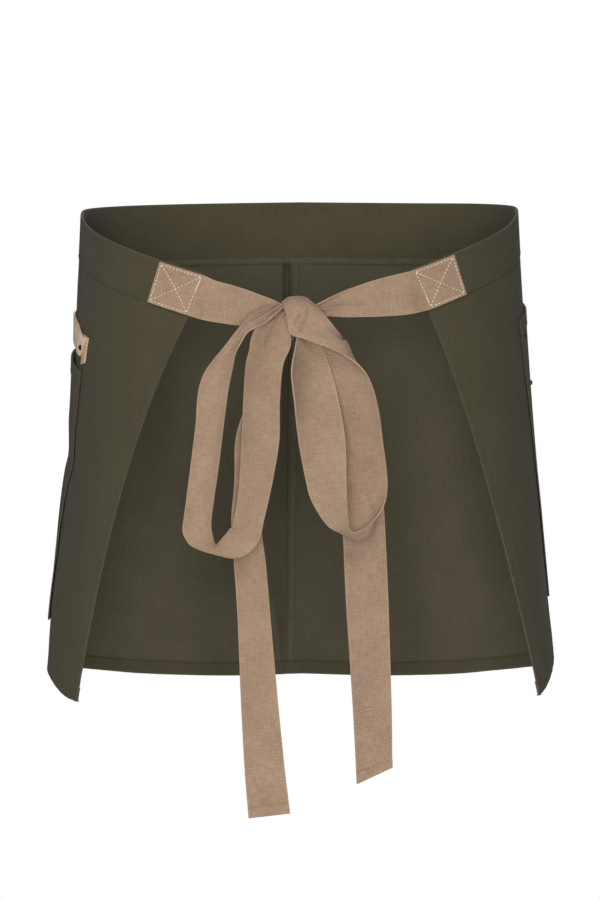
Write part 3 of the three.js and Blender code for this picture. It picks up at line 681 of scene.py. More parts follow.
# Ends of the strap's middle line, as place along the band and distance down
STRAP_FRONT, STRAP_REAR = (-208, 92), (-301, 96)
STRAP_HALF, STRAP_WALL, STRAP_STAND = 9.4, 1.8, 0.5
STRAP_SEAT = 1.0
STRAP_LENGTH = 95
# Where along the strap it stands off the cloth, and where it climbs over its folded-back end
STAND_FROM, STAND_RUN = 0.14, 0.72
CLIMB_FROM, CLIMB_RUN = 0.76, 0.12
# How far the rear end slants, how far the upper edge is pulled up, and where along the strap each is
SLANT, SLANT_FROM, SLANT_TOP, SLANT_RUN = 9, 0.7, -5, 15
PULL, PULL_FROM, PULL_RUN = 4, 0.3, 0.64
# Dents round the rivets: depth, places along the strap, and reach along and across
DENT, DENT_PLACES, DENT_ALONG, DENT_ACROSS = 0.35, (0.06, 0.905), 0.05, 6
# The strap is folded back under its rear end: the end below shows as a narrow strip
UNDER_FRONT, UNDER_REAR, UNDER_TOP, UNDER_BOTTOM, UNDER_WALL = -295, -304, 86, 108.5, 1.2
UNDER_SHIFT, UNDER_SLOPE = 2.7, 0.45


def strap_place(s, a):
    """Place on the band, distance down and distance off of the strap's underside."""
    u = STRAP_FRONT[0] + (STRAP_REAR[0] - STRAP_FRONT[0]) * s
    v = STRAP_FRONT[1] + (STRAP_REAR[1] - STRAP_FRONT[1]) * s + a
    rise = STRAP_STAND * np.sin(math.pi * np.clip((s - STAND_FROM) / STAND_RUN, 0, 1)) ** 1.2
    return u, v, STRAP_SEAT + rise + UNDER_WALL * smooth((s - CLIMB_FROM) / CLIMB_RUN)


def make_leather_loop():
    """A leather strap, riveted at both ends, that stands a little off the cloth between them."""
    along = stations(0, (1, 64))
    across = stations(-STRAP_HALF, (STRAP_HALF, 10))

    def place(s, a):
        u, v, off = strap_place(s, a)
        lower = np.clip((a - SLANT_TOP) / SLANT_RUN, 0, 1)
        u = u + SLANT * smooth((s - SLANT_FROM) / (1 - SLANT_FROM)) * lower
        pulled = np.sin(math.pi * np.clip((s - PULL_FROM) / PULL_RUN, 0, 1))
        v = v - PULL * pulled * np.clip(-a / STRAP_HALF, 0, 1)
        dents = sum(edge_wear(s - at, DENT_ALONG) for at in DENT_PLACES)
        dent = DENT * dents * edge_wear(a, DENT_ACROSS)
        wear_and_highlight = np.maximum(edge_wear(np.abs(a) - STRAP_HALF, 0.8), edge_wear(np.abs(s - 0.5) - 0.5, 0.01))
        points = on_cloth(u, v, off + STRAP_WALL / 2 - dent)
        return points, np.stack([s * STRAP_LENGTH, a], -1), wear_and_highlight

    piece = thicken(grid_piece("leather_towel_loop", along, across, place), STRAP_WALL, 0.45)
    return finish_piece(piece, LEATHER, ["towel_loop"])


def make_leather_end():
    """The end of the strap that is folded back under it."""
    across = stations(UNDER_REAR, (UNDER_FRONT, 8))
    down = stations(UNDER_TOP, (UNDER_BOTTOM, 12))

    def place(u, v):
        edge = np.minimum(u - UNDER_REAR, UNDER_BOTTOM - v)
        off = np.full(len(u), STRAP_SEAT + UNDER_WALL / 2)
        low = (v - UNDER_TOP) / (UNDER_BOTTOM - UNDER_TOP)
        points = on_cloth(u + UNDER_SHIFT * low, v + UNDER_SLOPE * low * (u - UNDER_REAR), off)
        return points, np.stack([u, v], -1), 0.5 * edge_wear(edge, 0.8)

    piece = thicken(grid_piece("leather_loop_end", across, down, place), UNDER_WALL, 0.3)
    return finish_piece(piece, LEATHER_UNDER)


# Rivets: what each sits on, how far along and across it, radius, height, finish and material slot
RIVETS = {
    "towel_loop_rivet_rear": ("strap", 0.93, 1.5, 2.3, 1.1, DARK_RIVET, "dark_rivet"),
    "towel_loop_rivet_front": ("strap", 0.06, 0, 2.3, 1.1, DARK_RIVET, "dark_rivet"),
    "pocket_rivet_upper": ("right", 0.94, 15, 2.4, 1.2, COPPER, "copper"),
    "pocket_rivet_lower": ("right", 0.72, 65, 2.4, 2.4, COPPER, "copper"),
}
# A rivet's outline from its middle to its rim, as shares of its radius and height
RIVET_OUTLINE = [
    (0, 0.66), (0.22, 0.68), (0.34, 0.84), (0.48, 0.98), (0.62, 0.96), (0.8, 0.78), (0.93, 0.5),
    (1, 0.24), (1, 0),
]


def rivet_seat(on, along, across):
    """The point under a rivet, in millimetres, and the direction it faces."""
    if on == "strap":
        u, v, off = strap_place(along, across)
        off = off + STRAP_WALL
    else:
        side, front, rear, mouth, _, _ = POCKETS[on]
        u, v = side * (front + (rear - front) * along), mouth + across
        off = pocket_off(on, along, across) + CANVAS_WALL / 2
    return on_cloth(u, v, np.float64(off)), outward(u, v)


def make_rivet(name):
    on, along, across, radius, height, material, slot = RIVETS[name]
    seat, facing = rivet_seat(on, along, across)
    bm = bmesh.new()
    points = [bm.verts.new((r * radius * MM, 0, h * height * MM)) for r, h in RIVET_OUTLINE]
    edges = [bm.edges.new(pair) for pair in zip(points[:-1], points[1:])]
    bmesh.ops.spin(
        bm, geom=points + edges, cent=(0, 0, 0), axis=(0, 0, 1), angle=2 * math.pi, steps=32, use_merge=True
    )
    bmesh.ops.remove_doubles(bm, verts=bm.verts, dist=1e-6)
    bmesh.ops.holes_fill(bm, edges=bm.edges, sides=0)
    bmesh.ops.recalc_face_normals(bm, faces=bm.faces)
    turn = Vector((0, 0, 1)).rotation_difference(Vector(facing)).to_matrix()
    bmesh.ops.rotate(bm, verts=bm.verts, cent=(0, 0, 0), matrix=turn)
    bmesh.ops.translate(bm, verts=bm.verts, vec=Vector(seat * MM))
    piece = new_piece(f"{name}_head", take_mesh(bm, f"{name}_head"))
    return finish_piece(piece, material, [name])


# Tape pieces

TAPE_WIDTH = 35
TAPE_WALL = 1.2
TAPE_TURN = 0.7
TAPE_END_HEM = 7
# Each row is one section: left edge x, y, z, right edge x, y, z, and how far the middle bulges
TAPES = {
    "bow_loop_left": [
        (-16.5, -139, -67.5, -14.5, -141, -70.5, 0),
        (-24.5, -145, -70, -21.5, -149, -76.5, 1),
        (-33.5, -149, -73, -29.5, -155, -83, 2),
        (-44, -153, -80, -36, -160, -85.5, 2),
        (-53, -154.5, -90.5, -43, -160.5, -89.5, 2),
        (-62, -154.5, -102, -48.5, -161, -98.5, 2.5),
        (-72.5, -154, -115, -52.5, -160.5, -106.5, 3),
        (-78.5, -154, -124.5, -55, -160, -118.5, 3.5),
        (-83, -154, -140, -58.5, -159.5, -136, 3.5),
        (-85, -154, -166, -62, -159.5, -162, 3.5),
        (-89.5, -154, -202.5, -66.5, -159.5, -198.5, 3.5),
        (-94, -154, -237, -71.5, -159, -233.5, 3.5),
        (-95.5, -153.5, -250.5, -72.5, -158, -246.5, 3),
        (-92.5, -152.5, -258.5, -71, -156.5, -254.5, 2),
        (-88.5, -151.5, -263, -70, -153.5, -259, 0.5),
        (-79, -150.5, -267.5, -69, -150.5, -261, 0),
        (-67, -149.5, -271, -68, -147.5, -261.5, 0),
        (-55, -148.5, -273.5, -66, -145, -260, 0),
        (-44.5, -147.5, -271, -63.5, -142.5, -257.5, 0),
        (-36.5, -146.5, -263.5, -60, -140.5, -253.5, 0),
        (-32.5, -145.5, -255.5, -57.5, -138.5, -250.5, 0),
        (-30, -144, -243.5, -55.5, -136.5, -248.5, 0),
        (-26, -143, -226.5, -51.5, -134, -228.5, 0),
        (-22, -143, -206.5, -49.5, -131.5, -208, 0),
        (-17.5, -142, -178, -48, -129, -179.5, 0),
        (-17, -142, -146, -46.5, -127, -147, 0),
        (-14.5, -142, -118.5, -44.7, -129, -119, 0),
        (-9, -142, -104.5, -41.7, -131, -106.5, -1),
        (-8, -142, -96.5, -40, -133, -96, -1),
        (-9.5, -141, -87.5, -34, -135, -84.5, -1),
        (-11, -140, -79.5, -21, -136, -78, -1),
        (-11, -138, -76, -13.5, -136, -74.5, 0),
    ],
    "bow_loop_right": [
        (7.5, -121, -77.5, -14, -121, -77.5, 0),
        (8, -127.5, -68.2, -15.5, -127.5, -68.7, 4),
        (9.5, -139, -68, -14.5, -139, -68.5, 5),
        (15.5, -146, -73.5, -11.5, -147, -77.5, 4),
        (21.5, -147, -80, -8.5, -151, -91.5, 3),
        (27.3, -146, -87.5, 3, -153, -96, 3),
        (33, -141.5, -96, 17.5, -154, -101.5, 3.5),
        (27, -134, -99, 31.5, -154, -107, 6.5),
        (18.5, -132, -104, 44, -153, -115, 7),
        (18, -132.5, -112, 49.5, -151.5, -120.5, 5),
        (20, -132.5, -120, 54, -150, -127, 3.5),
        (25, -132, -132, 59, -148.5, -139.5, 2.5),
        (29.5, -130, -150, 63, -147.5, -157.5, 2),
        (33.5, -127, -178.5, 65.5, -147, -177.5, 2),
        (35, -129.5, -205.5, 69, -146, -203.5, 2),
        (34.5, -132, -225.5, 69.5, -146, -217.5, 3),
        (36, -135, -242.5, 67.5, -147, -228, 5),
        (41.5, -137.5, -253.5, 63, -149, -237, 6),
        (48.5, -140, -259, 56.5, -152, -244, 5),
        (45, -143.5, -259.3, 49, -156, -249, 3),
        (38.5, -147, -256.5, 43.5, -159, -251.5, 1),
        (31.5, -150, -252.5, 39, -161, -249, 0),
        (20.5, -153, -245.5, 38, -161.5, -240, -1),
        (8.5, -155, -226.5, 37, -161, -224, -2),
        (3.5, -156.5, -208.5, 36.5, -160, -206, -2),
        (-2, -160.5, -177.5, 35.5, -154, -175, -4),
        (-5, -164.5, -147, 30, -142.5, -144.5, -6),
        (-7.5, -164.5, -121, 23.5, -138.5, -120.5, -5.5),
        (-4.5, -156.5, -102, 17.5, -139, -104, -3),
        (-3.5, -148, -92.5, 11.5, -140.5, -94, -1),
        (-5.5, -142.5, -84.5, 5.5, -144.5, -84.5, 0),
    ],
    "tie_tail_left": [
        (-15, -131, -92.3, -5.2, -130.3, -93.2, 0),
        (-31.5, -125, -116.5, -14, -116, -117, 1),
        (-43, -122, -147.5, -20.5, -111, -148.5, 1),
        (-53, -120.5, -178.5, -25, -110.5, -179.5, 1),
        (-54, -121.5, -212.5, -29.5, -113, -214, 1),
        (-56.5, -124.5, -240.5, -32, -117, -240.5, 1),
        (-56, -126, -257.5, -31.5, -119, -259, 1),
        (-54.5, -126, -279.5, -28.5, -119.5, -281.5, 1),
        (-51.5, -124, -327, -24.5, -118, -328.5, 1),
        (-49, -121, -392.5, -19, -116.5, -391.5, 1),
        (-46, -118, -450.5, -13.5, -116, -447.5, 1),
        (-43, -118, -489, -9, -118, -485, 0),
    ],
    "tie_tail_right": [
        (-1, -130.5, -94.5, 9.5, -131.5, -94, 0),
        (7.5, -119, -117, 31.5, -117.5, -115, 1),
        (19.5, -119.5, -147.5, 49.5, -114, -146, 1),
        (28.5, -119.5, -188.5, 60, -111, -186.5, 1),
        (32.5, -119.5, -229, 66.5, -110, -227.5, 1),
        (34.5, -119.5, -266, 69, -109.5, -265.5, 1),
        (36.5, -119, -311, 71, -109, -309, 1),
        (39.5, -118.5, -356, 72.5, -109, -353.5, 1),
        (42.5, -118, -401.5, 74, -109, -398, 1),
        (44.5, -117.5, -438.5, 74.5, -109, -432, 1),
        (45.5, -116.5, -461, 74.5, -109.5, -448.5, 0),
    ],
    "tie_strap_left": [
        (-69, -115, -51, -78.5, -115, -83, 0),
        (-53.5, -119, -55, -62.5, -118, -85.5, 0),
        (-39.5, -123, -59.5, -47, -121, -87, 0),
        (-28.5, -126, -63.5, -33, -125, -84.5, 1),
        (-20, -129, -67, -22.5, -128, -81.5, 1),
        (-11.5, -132, -71.5, -12, -132, -77.5, 0),
    ],
    "tie_strap_right": [
        (79.5, -114, -45.5, 89, -114, -78, 0),
        (66.5, -117, -48.5, 72, -117, -79.5, 0),
        (51, -120, -53, 53.5, -120, -80, 0),
        (37, -123, -58, 35.5, -123, -80, 1),
        (26, -126, -63, 24, -126, -79, 1),
        (16, -129, -68, 15.5, -129, -78.5, 1),
        (10.5, -132, -70.5, 10.5, -132, -77.5, 0),
    ],
}
# Creases pulled in by the knot: depth, half width, then places as row and share across.
# A negative depth stands out as a ridge, or dents a strand whose face looks away.
CREASES = {
    "bow_loop_right": [
        (2.4, 1.5, (2.75, 0.3), (3.3, 0.46), (4.05, 0.75)),
        (2.2, 1.4, (3.0, 0.62), (3.6, 0.83)),
        (-0.7, 2.2, (14.4, 0.4), (16.2, 0.62)),
        (-2.2, 6, (6.4, 0.35), (7.0, 0.5), (7.6, 0.6)),
    ],
    "tie_strap_right": [(1.8, 2.0, (6.2, 0.55), (8.0, 0.38), (10.0, 0.3))],
    "tie_strap_left": [(1.2, 1.8, (7.0, 0.62), (9.0, 0.5))],
    "bow_loop_left": [
        (0.9, 2.2, (1.0, 0.55), (4.0, 0.35)),
        (-0.9, 2.0, (30.0, 0.5), (27.5, 0.68)),
        (-0.8, 1.8, (30.4, 0.3), (28.2, 0.32)),
    ],
}
# Where each sewn square starts along the band, and how far the middle of the tape stands off there:
# the band's outer face, the tape's seat on it and half its own wall
BOX_FROM = {-1: BAND_HALF - 36, 1: BAND_HALF - 35}
BAND_FACE = BAND_TURN + CANVAS_WALL / 2
TAPE_SEAT = 0.55
STRAP_OFF = BAND_FACE + TAPE_SEAT + TAPE_WALL / 2
# Pleats at the knot: how far they reach, how softly they fade, and how they grow as the tape narrows
PLEAT_REACH, PLEAT_FADE, PLEAT_SLACK, PLEAT_GROWTH, PLEAT_MOST = 60, 25, 7, 0.09, 1.5
TAPE_STEPS, TAPE_SPANS = 9, 26
# Selvedges, with their painted edge highlight: how pale, how wide, and the table rows between which the pale
# edge is left out, so no bright rim shows there
SELVEDGE_HIGHLIGHT, SELVEDGE_WIDTH = 0.6, 1.3
SELVEDGE_HIGHLIGHT_OFF = {"bow_loop_left": (12, 20)}
SELVEDGE_FADE = 1.5


def tape_rows(name):
    """A tape's table rows. A strap starts as a flat square that lies on the end of the band."""
    rows = [list(row) for row in TAPES[name]]
    if not name.startswith("tie_strap"):
        return np.array(rows, float)
    side = SIDES[name.split("_")[-1]]
    edge = (BAND_HEIGHT - TAPE_WIDTH) / 2
    square = []
    for u in np.linspace(BOX_FROM[side], BAND_HALF, 4):
        upper = on_cloth(side * u, edge, STRAP_OFF)
        lower = on_cloth(side * u, BAND_HEIGHT - edge, STRAP_OFF)
        square.append([*upper, *lower, 0])
    return np.array(square + rows, float)


def through_rows(rows, steps):
    """Sections on a smooth curve through the table rows, so many to a row."""
    last = len(rows) - 1
    at = np.arange(last * steps + 1) / steps
    i = np.minimum(at.astype(int), last - 1)
    t = (at - i)[:, None]
    p0, p1, p2, p3 = (rows[np.clip(i + k, 0, last)] for k in (-1, 0, 1, 2))
    bend = (p2 - p0) * t + (2 * p0 - 5 * p1 + 4 * p2 - p3) * t**2 + (3 * p1 - p0 - 3 * p2 + p3) * t**3
    return p1 + bend / 2


def faces_of(surface):
    along = np.gradient(surface, axis=0)
    over = np.gradient(surface, axis=1)
    return unit(np.cross(over, along))


def crease_depth(name, length, rows_at, share):
    """How far the creases of a tape pull its points in."""
    depth = np.zeros(np.broadcast(length, share).shape)
    for deep, half, *places in CREASES.get(name, ()):
        where = np.array(places)
        line = np.stack([np.interp(where[:, 0], rows_at, length[:, 0]), where[:, 1] * TAPE_WIDTH], -1)
        nearest = np.full(depth.shape, np.inf)
        for a, b in zip(line[:-1], line[1:]):
            run = b - a
            x, y = length - a[0], share * TAPE_WIDTH - a[1]
            t = np.clip((x * run[0] + y * run[1]) / (run @ run), 0, 1)
            nearest = np.minimum(nearest, np.hypot(x - t * run[0], y - t * run[1]))
        depth += deep * np.exp(-((nearest / half) ** 2))
    return depth


def tape_surface(name):
    """Points, faces and lengths of a tape's middle surface, with pleats where the knot gathers it."""
    sections = through_rows(tape_rows(name), TAPE_STEPS)
    left, right, bulge = sections[:, 0:3], sections[:, 3:6], sections[:, 6]
    share = np.linspace(0, 1, TAPE_SPANS + 1)[None, :]
    middle = (left + right) / 2
    length = np.concatenate([[0], np.cumsum(np.linalg.norm(np.diff(middle, axis=0), axis=1))])[:, None]
    flat = left[:, None] + (right - left)[:, None] * share[..., None]
    face = unit(np.cross(right - left, np.gradient(middle, axis=0)))[:, None]
    width = np.linalg.norm(right - left, axis=1)[:, None]
    from_end = length[-1] - length
    near_knot = smooth((PLEAT_REACH - length) / PLEAT_FADE) + smooth((PLEAT_REACH - from_end) / PLEAT_FADE)
    gathered = near_knot * np.clip((TAPE_WIDTH - PLEAT_SLACK - width) * PLEAT_GROWTH, 0, PLEAT_MOST)
    pleat = gathered * np.sin(3 * math.pi * share)
    curve = bulge[:, None] * 4 * share * (1 - share)
    lift = curve + pleat - crease_depth(name, length, np.arange(len(sections)) / TAPE_STEPS, share)
    surface = flat + face * lift[..., None]
    return surface, faces_of(surface), length[:, 0]


def selvedge_highlight_shows(name, row):
    """How much of the selvedge's paler colour, partly painted highlight, shows at a table row."""
    if name not in SELVEDGE_HIGHLIGHT_OFF:
        return 1
    first, last = SELVEDGE_HIGHLIGHT_OFF[name]
    return 1 - smooth((row - first) / SELVEDGE_FADE) * smooth((last - row) / SELVEDGE_FADE)


def make_tape(name, hem):
    """A piece of tape, with its end turned under where it has a hem, and its flat length in metres."""
    surface, faces, length = tape_surface(name)
    total = length[-1]
    run = length
    if hem:
        turn_end = total + math.pi * TAPE_TURN
        run = np.concatenate([length, stations(total, (turn_end, 8), (turn_end + hem, 5))[1:]])
    share = np.linspace(0, 1, TAPE_SPANS + 1)

    def place(along, across):
        back, under = turned(along, total, TAPE_TURN)
        column = np.rint(across * TAPE_SPANS).astype(int)
        at = np.interp(np.clip(back, 0, total), length, np.arange(len(length)))
        low = np.minimum(at.astype(int), len(length) - 2)
        t = (at - low)[:, None]
        point = surface[low, column] * (1 - t) + surface[low + 1, column] * t
        facing = faces[low, column] * (1 - t) + faces[low + 1, column] * t
        ahead = unit(surface[-1, column] - surface[-2, column]) * np.maximum(back - total, 0)[:, None]
        points = point + ahead - facing * under[:, None]
        edge = np.minimum(across, 1 - across) * TAPE_WIDTH
        # The pale selvedge is partly painted highlight along the tape's edges
        wear_and_highlight = SELVEDGE_HIGHLIGHT * edge_wear(edge, SELVEDGE_WIDTH) * selvedge_highlight_shows(name, at / TAPE_STEPS)
        if hem:
            wear_and_highlight = np.maximum(wear_and_highlight, SELVEDGE_HIGHLIGHT * edge_wear(along - total - 1, 1.2))
        return points, np.stack([along, across * TAPE_WIDTH], -1), wear_and_highlight

    piece = thicken(grid_piece(f"{name}_tape", run, share, place), TAPE_WALL, 0.35, even=False)
    return finish_piece(piece, TAPE, [name]), (total + hem) * MM


KNOT_CENTRE = np.array([-0.5, -134.5, -81.2])
KNOT_HALF = np.array([11, 7, 13.8])
# How square the knot is, how deep its pleats are, and how far apart round and along it
KNOT_SQUARE, KNOT_PLEAT, PLEATS_ROUND, PLEATS_ALONG = 0.8, 0.05, 5, 3
# Flat width of the tape round the knot per radian, and where on the tape that starts
KNOT_UV = (9, 30)


def make_knot():
    """The turns of tape inside the knot: a rounded lump with gathered pleats round it."""
    bm = bmesh.new()
    bmesh.ops.create_uvsphere(bm, u_segments=48, v_segments=28, radius=1)
    mesh = take_mesh(bm, "bow_knot_tape")
    ball = vertices_of(mesh)
    turn = np.arctan2(ball[:, 1], ball[:, 0])
    square = np.sign(ball) * np.abs(ball) ** KNOT_SQUARE
    pleat = 1 + KNOT_PLEAT * np.sin(PLEATS_ROUND * turn + PLEATS_ALONG * ball[:, 2])
    points = KNOT_CENTRE + square * KNOT_HALF * np.stack([pleat, pleat, np.ones(len(pleat))], -1)
    uv = np.stack([points[:, 2] - KNOT_CENTRE[2], turn * KNOT_UV[0] + KNOT_UV[1]], -1)
    shape_mesh(mesh, points, uv)
    finish_piece(new_piece("bow_knot_tape", mesh), TAPE, ["bow_knot"])


# Stitching

# Spacing, length and radius of the stitches in each thread
OLIVE_PITCH, OLIVE_STITCH, OLIVE_RADIUS = 2.7, 2.0, 0.24
CREAM_PITCH, CREAM_STITCH, CREAM_RADIUS = 3.1, 2.4, 0.42
OVERLOCK_PITCH, OVERLOCK_STITCH, OVERLOCK_RADIUS = 2.1, 1.9, 0.3
LOOPER_STITCH, LOOPER_RADIUS, LOOPER_SLANT = 4.4, 0.26, 0.55
# Width of an overlocked edge, how far off it lies on the band's lip and on the centre seam, and how much
# nearer the panel its needle row is there
OVERLOCK_WIDTH, LIP_THREAD_OFF, SEAM_THREAD_OFF, SEAM_THREAD_RISE = 4, -1.5, -1.4, 0.35
# How far stitches lie off the cloth: outside, inside, and inside on a hem
OUTSIDE = PANEL_OFF + CANVAS_WALL / 2
INSIDE = PANEL_OFF - CANVAS_WALL / 2
HEM_INSIDE = INSIDE - 2 * HEM_TURN
HEM_ROW = HEM_DEPTH - 1.6
# The band's row above its lower edge, and how far it lies off outside and inside
BAND_ROW, BAND_OUTSIDE, BAND_INSIDE = 2.2, 1.22, -1.25
# A pocket's two rows in from its edge, where they start below the mouth, and the row of its mouth hem
POCKET_INSETS, POCKET_ROW_TOP = (1.9, 7.5), 0.5
MOUTH_ROW = POCKET_HEM - 1.5
# The row of a tail's turned end: above the hem's edge, its spacing, and how far threads stand off the tape
END_ROW, END_PITCH, THREAD_STAND = 1.2, 2.6, 0.05


# Points to each step of a row on the cloth, and half the length over which a stitch takes its direction
ROW_STEPS, HALF_LOOK = 60, 0.4


def spaced(points, normals, pitch):
    """Centres, directions and normals of stitches spaced evenly along a line of points."""
    gaps = np.linalg.norm(np.diff(points, axis=0), axis=1)
    walked = np.concatenate([[0], np.cumsum(gaps)])
    count = max(1, int(walked[-1] // pitch))
    at = (np.arange(count) + 0.5) * walked[-1] / count

    def along(places, values):
        return np.stack([np.interp(places, walked, values[:, k]) for k in range(3)], -1)

    ahead = unit(along(at + HALF_LOOK, points) - along(at - HALF_LOOK, points))
    return along(at, points), ahead, unit(along(at, normals))


def cloth_row(us, vs, off):
    """A row of stitches on the cloth through places along the band and down, on the side that off is."""
    places = np.array([np.broadcast_to(x, max(np.size(us), np.size(vs))) for x in (us, vs)], float)
    last = places.shape[1] - 1
    steps = np.linspace(0, last, ROW_STEPS * last + 1)
    u, v = (np.interp(steps, np.arange(last + 1), row) for row in places)
    return spaced(on_cloth(u, v, np.full(len(u), off)), outward(u, v) * np.sign(off), OLIVE_PITCH)


def make_threads(name, rows, length, radius, material):
    """One mesh of all the stitches in some rows, each a small grain that lies along its row."""
    bm = bmesh.new()
    bmesh.ops.create_uvsphere(bm, u_segments=5, v_segments=4, radius=1)
    grain = np.array([vert.co for vert in bm.verts])
    bm.verts.index_update()
    faces = [[vert.index for vert in face.verts] for face in bm.faces]
    bm.free()
    centre, along, up = (np.concatenate(part) for part in zip(*rows))
    side = unit(np.cross(along, up))
    up = np.cross(side, along)
    reach = grain[None, :, 2, None] * along[:, None] * length / 2
    breadth = grain[None, :, 0, None] * side[:, None] * radius
    depth = grain[None, :, 1, None] * up[:, None] * radius
    points = (centre[:, None] + reach + breadth + depth).reshape(-1, 3) * MM
    starts = np.arange(len(centre)) * len(grain)
    mesh = bpy.data.meshes.new(name)
    mesh.from_pydata(points, [], [[i + start for i in face] for start in starts.tolist() for face in faces])
    bm = bmesh.new()
    bm.from_mesh(mesh)
    bmesh.ops.recalc_face_normals(bm, faces=bm.faces)
    bm.to_mesh(mesh)
    bm.free()
    finish_piece(new_piece(name, mesh), material)


def panel_rows(side):
    """Hem stitching of one panel, on both faces."""
    end = BAND_HALF - HEM_ROW
    across = side * np.linspace(0.5, BAND_HALF - 0.5, 60)
    hem = fall(across) - HEM_ROW
    down = np.linspace(BAND_HEIGHT + 2, fall(side * end) - 1, 40)
    rows = [cloth_row(across, hem, OUTSIDE), cloth_row(across, hem, HEM_INSIDE)]
    return rows + [cloth_row(side * end, down, OUTSIDE), cloth_row(side * end, down, HEM_INSIDE)]


def pocket_rows(name):
    """Two rows of stitching round a pocket and one across its mouth hem, and one row inside the skirt."""
    side, front, rear, mouth, bottom, _ = POCKETS[name]
    width, height = rear - front, bottom - mouth

    def sewn(start, end, count, inside=False):
        a, d = (np.linspace(start[k], end[k], count) for k in (0, 1))
        u, v = side * (front + a), mouth + d
        if inside:
            return spaced(on_cloth(u, v, np.full(count, INSIDE)), -outward(u, v), OLIVE_PITCH)
        off = pocket_off(name, a / width, d) + CANVAS_WALL / 2
        return spaced(on_cloth(u, v, off), outward(u, v), OLIVE_PITCH)

    rows = []
    for inset in POCKET_INSETS:
        near, far, low = inset, width - inset, height - inset
        outline = [(near, POCKET_ROW_TOP), (near, low), (far, low), (far, POCKET_ROW_TOP)]
        for start, end in zip(outline[:-1], outline[1:]):
            rows.append(sewn(start, end, 40))
            if inset == POCKET_INSETS[0]:
                rows.append(sewn(start, end, 40, inside=True))
    return rows + [sewn((1, MOUTH_ROW), (width - 1, MOUTH_ROW), 60)]


def overlock_rows(edge, inner, normal):
    """An overlocked edge: a row along it, a needle row inside, and looper threads slanting between them."""
    rows = [spaced(edge, normal, OVERLOCK_PITCH), spaced(inner, normal, OVERLOCK_PITCH)]
    centre, along, up = spaced((edge + inner) / 2, normal, OVERLOCK_PITCH / 2)
    side = unit(np.cross(up, along))
    slant = np.where(np.arange(len(centre)) % 2 == 0, LOOPER_SLANT, -LOOPER_SLANT)[:, None]
    return rows, (centre, unit(side + along * slant), up)


def band_overlock():
    u = np.linspace(-BAND_HALF + 1, BAND_HALF - 1, 500)
    v = np.full(500, LIP_END - 0.3)
    off = lip_wave(u) + LIP_THREAD_OFF
    return overlock_rows(on_cloth(u, v, off), on_cloth(u, v - OVERLOCK_WIDTH, off), -outward(u, v))


def seam_overlock():
    v = np.linspace(SEAM_TOP + 1, fall(0.0) - HEM_DEPTH - 1, 300)
    u = np.full(300, SEAM_WIDTH - 0.2)
    off = SEAM_THREAD_OFF - seam_curl(v)
    inner = on_cloth(u - OVERLOCK_WIDTH, v, off + SEAM_THREAD_RISE)
    return overlock_rows(on_cloth(u, v, off), inner, -outward(u, v))


# The sewn square at each band end, as shares across it and down: its corners in turn
BOX_CORNERS = [(0.055, 0.055), (0.955, 0.055), (0.955, 0.945), (0.055, 0.945)]
DIAGONAL_BOW = 0.02
# Close stitches that lock the row nearest the knot, on each side
BACK_TACK = {"left": ((0.962, 0.12), (0.962, 0.42)), "right": ((0.962, 0.68), (0.962, 0.86))}
TACK_PITCH = 1.7


def box_row(side, start, end, bow=0.0, pitch=CREAM_PITCH):
    t = np.linspace(0, 1, 40)
    a = start[0] + (end[0] - start[0]) * t + bow * np.sin(math.pi * t)
    d = start[1] + (end[1] - start[1]) * t
    u = side * (BOX_FROM[side] + (BAND_HALF - BOX_FROM[side]) * a)
    v = (BAND_HEIGHT - TAPE_WIDTH) / 2 + TAPE_WIDTH * d
    off = np.full(len(t), STRAP_OFF + TAPE_WALL / 2 + THREAD_STAND)
    return spaced(on_cloth(u, v, off), outward(u, v), pitch)


def box_rows(name):
    """A square with its two diagonals, and the close stitches that lock it."""
    side = SIDES[name]
    rows = [box_row(side, BOX_CORNERS[i], BOX_CORNERS[(i + 1) % 4]) for i in range(4)]
    rows += [box_row(side, BOX_CORNERS[i], BOX_CORNERS[i + 2], bow=DIAGONAL_BOW) for i in range(2)]
    return rows + [box_row(side, *BACK_TACK[name], pitch=TACK_PITCH)]


def tail_end_row(name):
    """The row that holds the turned end of a tail, on the face that shows."""
    surface, faces, length = tape_surface(name)
    at = np.interp(length[-1] - TAPE_END_HEM + END_ROW, length, np.arange(len(length)))
    row = int(at)
    inside = slice(1, TAPE_SPANS)
    line = surface[row, inside] * (row + 1 - at) + surface[row + 1, inside] * (at - row)
    facing = faces[row, inside] * np.where(faces[row, inside, 1:2] < 0, 1, -1)
    return spaced(line + facing * (TAPE_WALL / 2 + THREAD_STAND), facing, END_PITCH)


def sew_canvas():
    rows = []
    for name, side in SIDES.items():
        rows += panel_rows(side) + pocket_rows(name)
    band_line = np.linspace(-BAND_HALF + 2, BAND_HALF - 2, 80)
    rows.append(cloth_row(band_line, BAND_HEIGHT - BAND_ROW, BAND_OUTSIDE))
    rows.append(cloth_row(band_line, BAND_HEIGHT, BAND_INSIDE))
    make_threads("canvas_stitching", rows, OLIVE_STITCH, OLIVE_RADIUS, OLIVE_THREAD)


def sew_overlock():
    straight, slanted = zip(band_overlock(), seam_overlock())
    rows = straight[0] + straight[1]
    make_threads("overlock_edges", rows, OVERLOCK_STITCH, OVERLOCK_RADIUS, OVERLOCK_THREAD)
    make_threads("overlock_loopers", slanted, LOOPER_STITCH, LOOPER_RADIUS, OVERLOCK_THREAD)


def sew_tape():
    rows = box_rows("left") + box_rows("right")
    rows += [tail_end_row("tie_tail_left"), tail_end_row("tie_tail_right")]
    make_threads("tape_stitching", rows, CREAM_STITCH, CREAM_RADIUS, CREAM_THREAD)


# Making the apron

